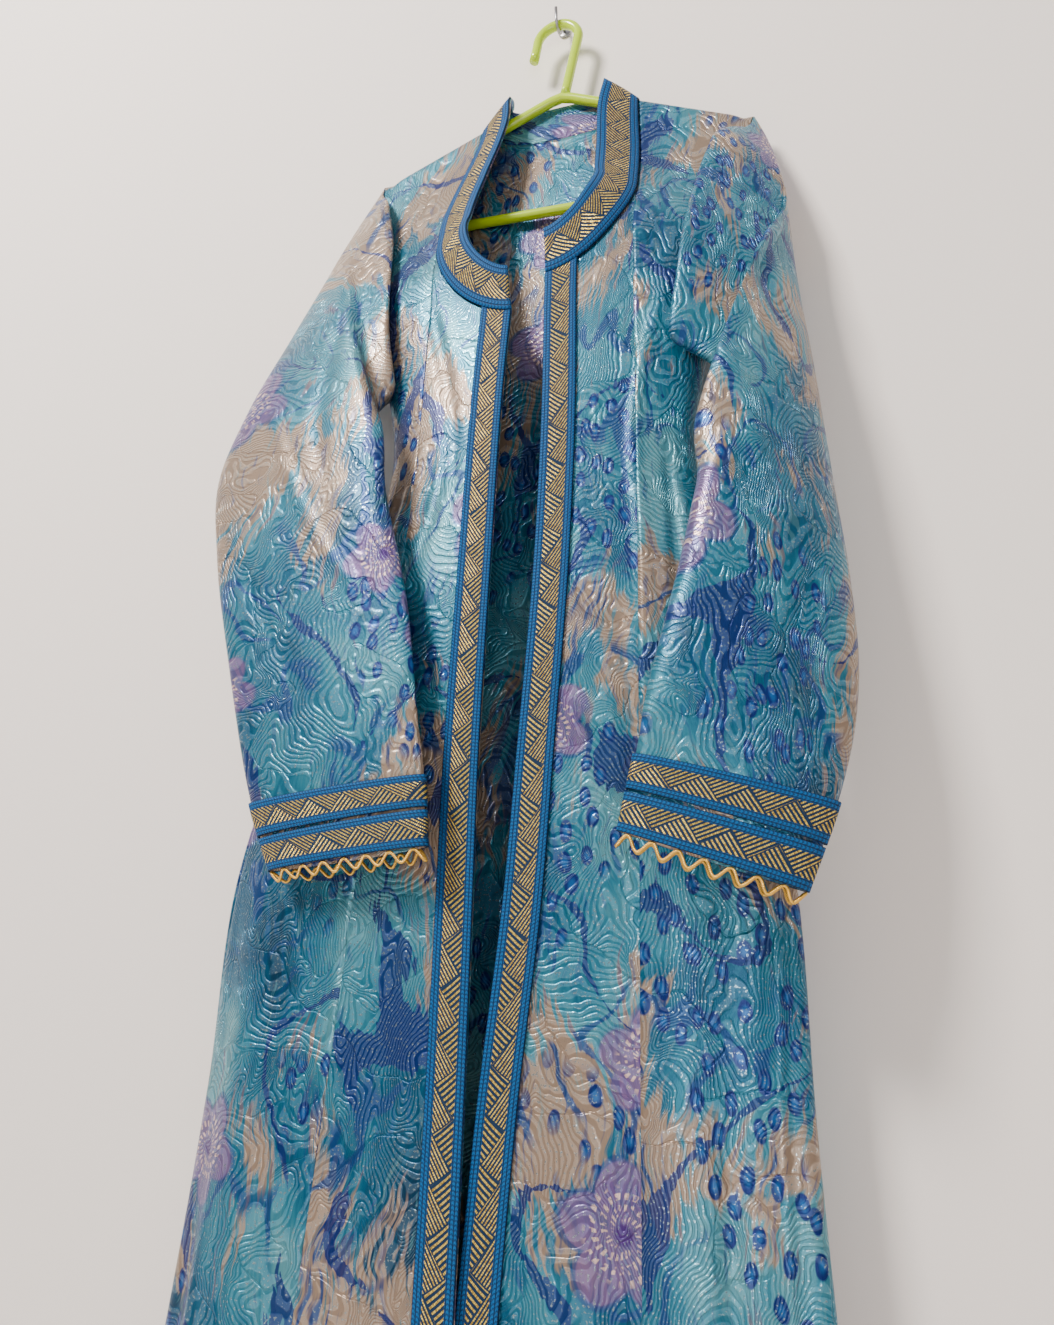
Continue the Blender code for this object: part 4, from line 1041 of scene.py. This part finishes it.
def braid_material(name, braid_group, width):
    """Blue knitted braid with gold threads across its middle."""
    made, g, shader = new_material(name)
    where = g.add("ShaderNodeUVMap", uv_map="cloth").outputs[0]
    pattern = use_group(g, braid_group, Vector=where, Width=width)
    # Border blue with painted shade between its stitches; the middle gets the braid's dark ground
    # colour.
    blue = g.mix(pattern["Shade"], KNIT_GROUND_AND_SHADE, KNIT_BLUE)
    gold = g.mix(g.step(g.noise(where, 700.0, 0.0), 0.42, 0.62), BRIGHT_GOLD, OLD_GOLD)
    g.put(shader.inputs["Base Color"], g.mix(pattern["Gold"], blue, gold))
    g.put(shader.inputs["Metallic"], g.math("MULTIPLY", pattern["Gold"], 0.55))
    g.put(shader.inputs["Roughness"], g.math("MULTIPLY_ADD", pattern["Gold"], -0.38, 0.70))
    shader.inputs["Specular IOR Level"].default_value = 0.25
    g.relief(shader, pattern["Height"], BRAID_RELIEF, BRAID_RELIEF_DEPTH)
    return made


def plain_material(name, color, roughness, metallic=0.0, **more):
    """Finish of one colour; further sockets are named with underscores."""
    made, _, shader = new_material(name)
    shader.inputs["Base Color"].default_value = (*color, 1.0)
    shader.inputs["Roughness"].default_value = roughness
    shader.inputs["Metallic"].default_value = metallic
    for key, value in more.items():
        shader.inputs[key.replace("_", " ")].default_value = value
    return made


print_group, relief_group, braid_group = build_print(), build_jacquard(), build_braid()
brocade = cloth_material("brocade", print_group, relief_group)
braid_cloth = braid_material("braid", braid_group, BRAID_W)
collar_cloth = braid_material("collar_braid", braid_group, COLLAR_H)
gold_cord = plain_material("gold_cord", (0.86, 0.50, 0.09), 0.34, 0.75)
lime = plain_material("lime_plastic", (0.46, 0.66, 0.008), 0.22, 0.0, Coat_Weight=0.4)
steel = plain_material("steel", (0.36, 0.36, 0.37), 0.38, 1.0)


# Pieces
def declare(made, nodes):
    """States what a piece rides on and hides the solids that it replaces."""
    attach(made, "root")
    if nodes:
        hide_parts(*nodes)


def sew(name, points, uvs, material, out, node, closed=False):
    """Adds a sheet with its faces outwards: brocade grows inwards, braid outwards."""
    braid = material is not brocade
    made = grid_mesh(name, points, uvs, material, closed)
    flip_to(made, out)
    solid(made, BRAID if braid else CLOTH, outwards=braid)
    declare(made, [node])


def round_closed(points):
    """The grid with its first column added again after its last."""
    return np.concatenate([points, points[:, :1]], axis=1)


def cloth_uvs(points, shift):
    """Map in metres over a panel, its threads straight down the panel's middle."""
    across = lengths(points, 1)
    across = across - across.mean(axis=1, keepdims=True)
    down = lengths(points, 0)
    down = down - down[-1:]
    return np.stack([across, -down], axis=-1) + np.array(shift)


def sleeve_uvs(points, shift):
    """Map in metres over a sleeve that hangs flat: across and from front to back, and down."""
    return np.stack([points[..., 0] + points[..., 1], points[..., 2]], axis=-1) + np.array(shift)


BODY_MIDDLE = np.array([0.0, -0.045, 0.0])


def body_out(centre):
    away = centre - BODY_MIDDLE
    return (away[0] * 0.2, away[1], 0.0)


# Panels: surface, place on the printed cloth, flat size and area
PANELS = {
    "front_centre_right": (centre_surface(-1, CENTRE_COLUMNS), (0.30, 0.10), (0.12, 1.25), 0.118),
    "front_centre_left": (centre_surface(1, CENTRE_COLUMNS), (1.10, 0.32), (0.12, 1.27), 0.120),
    "front_side_right": (side_surface(-1, SIDE_COLUMNS), (2.05, 0.70), (0.16, 1.42), 0.148),
    "front_side_left": (side_surface(1, SIDE_COLUMNS), (3.20, 0.45), (0.16, 1.42), 0.145),
    "back": (back_surface(BACK_COLUMNS), (4.60, 0.90), (0.53, 1.39), 0.575),
}
for name, (points, shift, flat, area) in PANELS.items():
    sew(name + "_cloth", points, cloth_uvs(points, shift), brocade, body_out, name)

# Sleeves: place on the printed cloth, flat size and area; then the collar's place on the printed cloth
SLEEVE_CUT = {-1: ((6.1, 0.3), (0.35, 0.67), 0.182), 1: ((7.4, 0.8), (0.29, 0.67), 0.143)}
COLLAR_SHIFT = (8.6, 0.2)
SIDES = ((-1, "right"), (1, "left"))
for side, wearer in SIDES:
    shift, flat, area = SLEEVE_CUT[side]
    ways = np.linspace(0.0, 1.0, SLEEVE_ROWS)
    angles = 2.0 * math.pi * np.arange(SLEEVE_COLUMNS) / SLEEVE_COLUMNS
    points = sleeve_surface(side, ways, angles)
    middle = points.mean(axis=1)

    def sleeve_out(centre, middle=middle):
        return tuple(centre - middle[np.argmin(np.abs(middle[:, 2] - centre[2]))])

    uvs = sleeve_uvs(round_closed(points), shift)
    sew(f"sleeve_{wearer}_cloth", points, uvs, brocade, sleeve_out, f"sleeve_{wearer}",
        closed=True)
    half = 0.5 * (CUFF_TOP + 1.0)
    angles = 2 * math.pi * np.arange(CUFF_COLUMNS) / CUFF_COLUMNS
    cuffs = (("upper", CUFF_TOP, half - CUFF_ROW_GAP), ("lower", half + CUFF_ROW_GAP, 1.0))
    for row, low, high in cuffs:
        points = sleeve_surface(side, np.linspace(low, high, CUFF_ROWS), angles)
        normals = grid_normals(points, closed=True)
        outwards = points - points.mean(axis=1, keepdims=True)
        normals = normals * np.sign((outwards * normals).sum(-1).mean())
        points = points + normals * PROUD
        round_it, down = lengths(round_closed(points), 1), lengths(round_closed(points), 0)
        uvs = np.stack([down / down[-1:] * BRAID_W, round_it], axis=-1)
        sew(f"cuff_{row}_{wearer}_braid", points, uvs, braid_cloth, sleeve_out,
            f"cuff_braid_{row}_{wearer}", closed=True)

    fine = np.linspace(0.0, 2.0 * math.pi, PICOT_EDGE_POINTS + 1)
    edge = round_closed(sleeve_surface(side, np.array([PICOT_FROM, 1.0]), fine[:-1]))
    way = lengths(edge, 1)[1]
    count = PICOT_WAVES * PICOT_POINTS
    at = np.arange(count) * way[-1] / count
    low = np.stack([np.interp(at, way, edge[1][:, k]) for k in range(3)], -1)
    high = np.stack([np.interp(at, way, edge[0][:, k]) for k in range(3)], -1)
    down = unit(low - high)
    phase = 2.0 * math.pi * np.arange(count) / PICOT_POINTS
    path = low + down * (PICOT_TOP + PICOT_DROP * (0.5 - 0.5 * np.cos(phase)))[:, None]
    ahead = unit(np.roll(path, -1, 0) - np.roll(path, 1, 0))
    side_way = unit(np.cross(ahead, down))
    other = np.cross(ahead, side_way)
    twist = 2.0 * math.pi * PICOT_TWISTS * np.arange(count) / count
    strands = []
    for k in range(2):
        a = (twist + math.pi * k)[:, None]
        strand = path + STRAND_OFFSET * (np.cos(a) * side_way + np.sin(a) * other)
        strands.append(tube(f"strand_{k}", strand, STRAND_R, STRAND_SIDES, gold_cord, closed=True))
    cord = joined(strands)
    cord.name = f"cuff_cord_{wearer}_twist"
    declare(cord, [f"cuff_cord_{wearer}"])


def collar_out(centre):
    return (centre[0] * 0.6, centre[1] + 0.040, 0.05)


points = collar_surface(np.linspace(0.0, 1.0, COLLAR_ROWS), COLLAR_STEPS)
uvs = cloth_uvs(points.transpose(1, 0, 2), COLLAR_SHIFT).transpose(1, 0, 2)
sew("collar_cloth", points, uvs, brocade, collar_out, "collar")
normals = grid_normals(points)
row = COLLAR_ROWS // 2
pairs = zip(normals[row], points[row])
sense = np.sign(sum(np.dot(normal, collar_out(point)) for normal, point in pairs))
lifted = points + normals * sense * PROUD
across, along = lengths(lifted, 0), lengths(lifted, 1)
uvs = np.stack([across / across[-1:] * COLLAR_H, np.broadcast_to(along[row:row + 1], across.shape)], -1)
sew("collar_braid_strip", lifted, uvs, collar_cloth, collar_out, "collar_braid")

for side, wearer in SIDES:
    points = band_surface(side, BAND_COLUMNS)
    normals = grid_normals(points)
    normals = normals * np.sign(-normals[..., 1].mean())
    points = points + normals * PROUD
    across, along = lengths(points, 1), lengths(points, 0)
    uvs = np.stack([across / across[:, -1:] * BRAID_W, along], axis=-1)
    sew(f"front_band_{wearer}", points, uvs, braid_cloth, lambda centre: (0.0, -1.0, 0.0),
        f"front_braid_{wearer}")


def hanger_place(x, z):
    """Point of the tilted hanger."""
    return (HANGER_X + x, HANGER_Y, z + math.tan(HANGER_TILT) * x)


def hanger_loop():
    bend_r, bend_x = arm_bend()
    lean = math.atan(ARM_SLOPE)
    half = [(0.0, ARM_Z - ARM_PEAK_DROP)]
    half += [(t, ARM_Z - ARM_SLOPE * t) for t in np.linspace(0.010, 0.13, 14)]
    for k in range(25):
        a = 0.5 * math.pi - lean - (math.pi - lean) * k / 24.0
        half.append((bend_x + bend_r * math.cos(a), BAR_Z + bend_r + bend_r * math.sin(a)))
    half += [(x, BAR_Z) for x in np.linspace(0.12, 0.01, 10)]
    loop = half + [(0.0, BAR_Z)] + [(-x, z) for x, z in reversed(half[1:])]
    return [hanger_place(x, z) for x, z in loop]


def hanger_hook():
    centre_z = HOOK_TOP_Z - HOOK_R
    path = [(x, HANGER_Y, z) for x, z in (HOOK_TIP, HOOK_TIP_BEND)]
    for k in range(37):
        a = math.pi * (1.0 - k / 36.0)
        path.append((HOOK_R * math.cos(a), HANGER_Y, centre_z + HOOK_R * math.sin(a)))
    foot_x, foot_z = SHANK_FOOT
    for t in np.linspace(0.1, 1.0, 10):
        path.append((HOOK_R + (foot_x - HOOK_R) * t, HANGER_Y, centre_z + (foot_z - centre_z) * t))
    return path


hanger = joined([
    tube("hanger_loop", hanger_loop(), ROD_R, ROD_SIDES, lime, closed=True),
    tube("hanger_hook", hanger_hook(), ROD_R, ROD_SIDES, lime),
])
declare(hanger, ["hanger"])

saddle_z = HOOK_TOP_Z - ROD_R - HOOK_GAP - WIRE_R + SADDLE_R
path = [(0.0, y, z) for y, z in WIRE_SHANK]
for k in range(17):
    a = math.pi * k / 16.0
    path.append((0.0, HANGER_Y + SADDLE_R * math.cos(a), saddle_z - SADDLE_R * math.sin(a)))
path.append((0.0, HANGER_Y - SADDLE_R - WIRE_TIP_OUT, saddle_z + WIRE_TIP_UP))
wall_hook = joined([
    tube("hook_wire", path, WIRE_R, WIRE_SIDES, steel),
    tube("hook_flange", [(0.0, -out, 0.0) for out in (0.0, FLANGE_EDGE, FLANGE_T)],
         [FLANGE_R, FLANGE_R, FLANGE_FACE_R], FLANGE_SIDES, steel),
])
declare(wall_hook, ["wall_hook"])


# Room, light and camera
WALL_Y, FLOOR_Z, ROOM_TOP_Z, ROOM_FRONT_Y, ROOM_HALF = 0.0008, -1.9, 2.5, -5, 4
# Lights: place, aim, size, power, colour
LIGHTS = {
    "key": ((-1.1, -1.7, 0.95), (0.0, 0.0, -0.45), 0.6, 112.0, (1.0, 0.94, 0.89)),
    "fill": ((0.9, -2.4, -1.05), (0.0, 0.0, -0.8), 1.0, 17.0, (0.98, 0.98, 1.0)),
    "back": ((0.7, 2.4, 0.3), (0.0, 0.0, -0.8), 1.2, 22.0, (1.0, 0.98, 0.96)),
}
SKY_COLOR, SKY_LOW, SKY_HIGH = (0.86, 0.84, 0.84, 1.0), 0.26, 0.72
CAMERA_PLACE = (0.220, -0.708, -0.907)
CAMERA_LENS, SENSOR_HEIGHT = 26.09, 36.0
PITCH, YAW, ROLL = 0.305, 0.3187, 0.0399


def flat_sheet(name, corners, material):
    mesh = bpy.data.meshes.new(name)
    mesh.from_pydata(corners, [], [(0, 1, 2, 3)])
    mesh.materials.append(material)
    return placed(name, mesh)


floor_paint = plain_material("floor_paint", PAINT, PAINT_ROUGHNESS)


def build_wall_paint():
    """Pale paint that is clear from behind, so the garment's back can be seen and lit."""
    made, g, shader = new_material("wall_paint")
    shader.inputs["Base Color"].default_value = (*PAINT, 1.0)
    shader.inputs["Roughness"].default_value = PAINT_ROUGHNESS
    behind = g.add("ShaderNodeNewGeometry").outputs["Backfacing"]
    lit = g.add("ShaderNodeLightPath").outputs["Is Shadow Ray"]
    mixed = g.add("ShaderNodeMixShader")
    g.put(mixed.inputs[0], g.math("MAXIMUM", behind, lit))
    g.put(mixed.inputs[1], shader.outputs[0])
    g.put(mixed.inputs[2], g.add("ShaderNodeBsdfTransparent").outputs[0])
    g.put(made.node_tree.nodes["Material Output"].inputs[0], mixed.outputs[0])
    return made


foot = [(x, WALL_Y, FLOOR_Z) for x in (-ROOM_HALF, ROOM_HALF)]
head = [(x, WALL_Y, ROOM_TOP_Z) for x in (ROOM_HALF, -ROOM_HALF)]
front = [(x, ROOM_FRONT_Y, FLOOR_Z) for x in (-ROOM_HALF, ROOM_HALF)]
wall = flat_sheet("wall", foot + head, build_wall_paint())
floor = flat_sheet("floor", front + foot[::-1], floor_paint)


def area_light(name, place, aim, size, power, color):
    """Soft square light at a place, turned to what it aims at."""
    data = bpy.data.lights.new(name, "AREA")
    data.size = size
    data.energy = power
    data.color = color
    made = placed(name, data)
    made.location = place
    made.rotation_euler = (Vector(aim) - Vector(place)).to_track_quat("-Z", "Y").to_euler()


for name, row in LIGHTS.items():
    area_light(name, *row)
world = bpy.data.worlds.new("room")
world.use_nodes = True
sky = Graph(world.node_tree)
above = sky.split(sky.add("ShaderNodeTexCoord").outputs["Generated"])[2]
background = world.node_tree.nodes["Background"]
background.inputs[0].default_value = SKY_COLOR
sky.put(background.inputs[1], sky.step(above, -0.15, 0.6, SKY_LOW, SKY_HIGH))
bpy.context.scene.world = world

turned = Matrix.Rotation(YAW, 3, "Z") @ Matrix.Rotation(PITCH, 3, "X")
right, ahead, up = (turned @ Vector(v) for v in ((1, 0, 0), (0, 1, 0), (0, 0, 1)))
level_right = right * math.cos(ROLL) + up * math.sin(ROLL)
level_up = up * math.cos(ROLL) - right * math.sin(ROLL)
camera_data = bpy.data.cameras.new("camera")
camera_data.sensor_fit = "VERTICAL"
camera_data.sensor_height = SENSOR_HEIGHT
camera_data.lens = CAMERA_LENS
camera_data.clip_start = 0.01
camera = placed("camera", camera_data)
camera.matrix_world = Matrix.Translation(CAMERA_PLACE) @ Matrix(
    (level_right, level_up, -ahead)).transposed().to_4x4()
bpy.context.scene.camera = camera

bpy.context.view_layer.update()
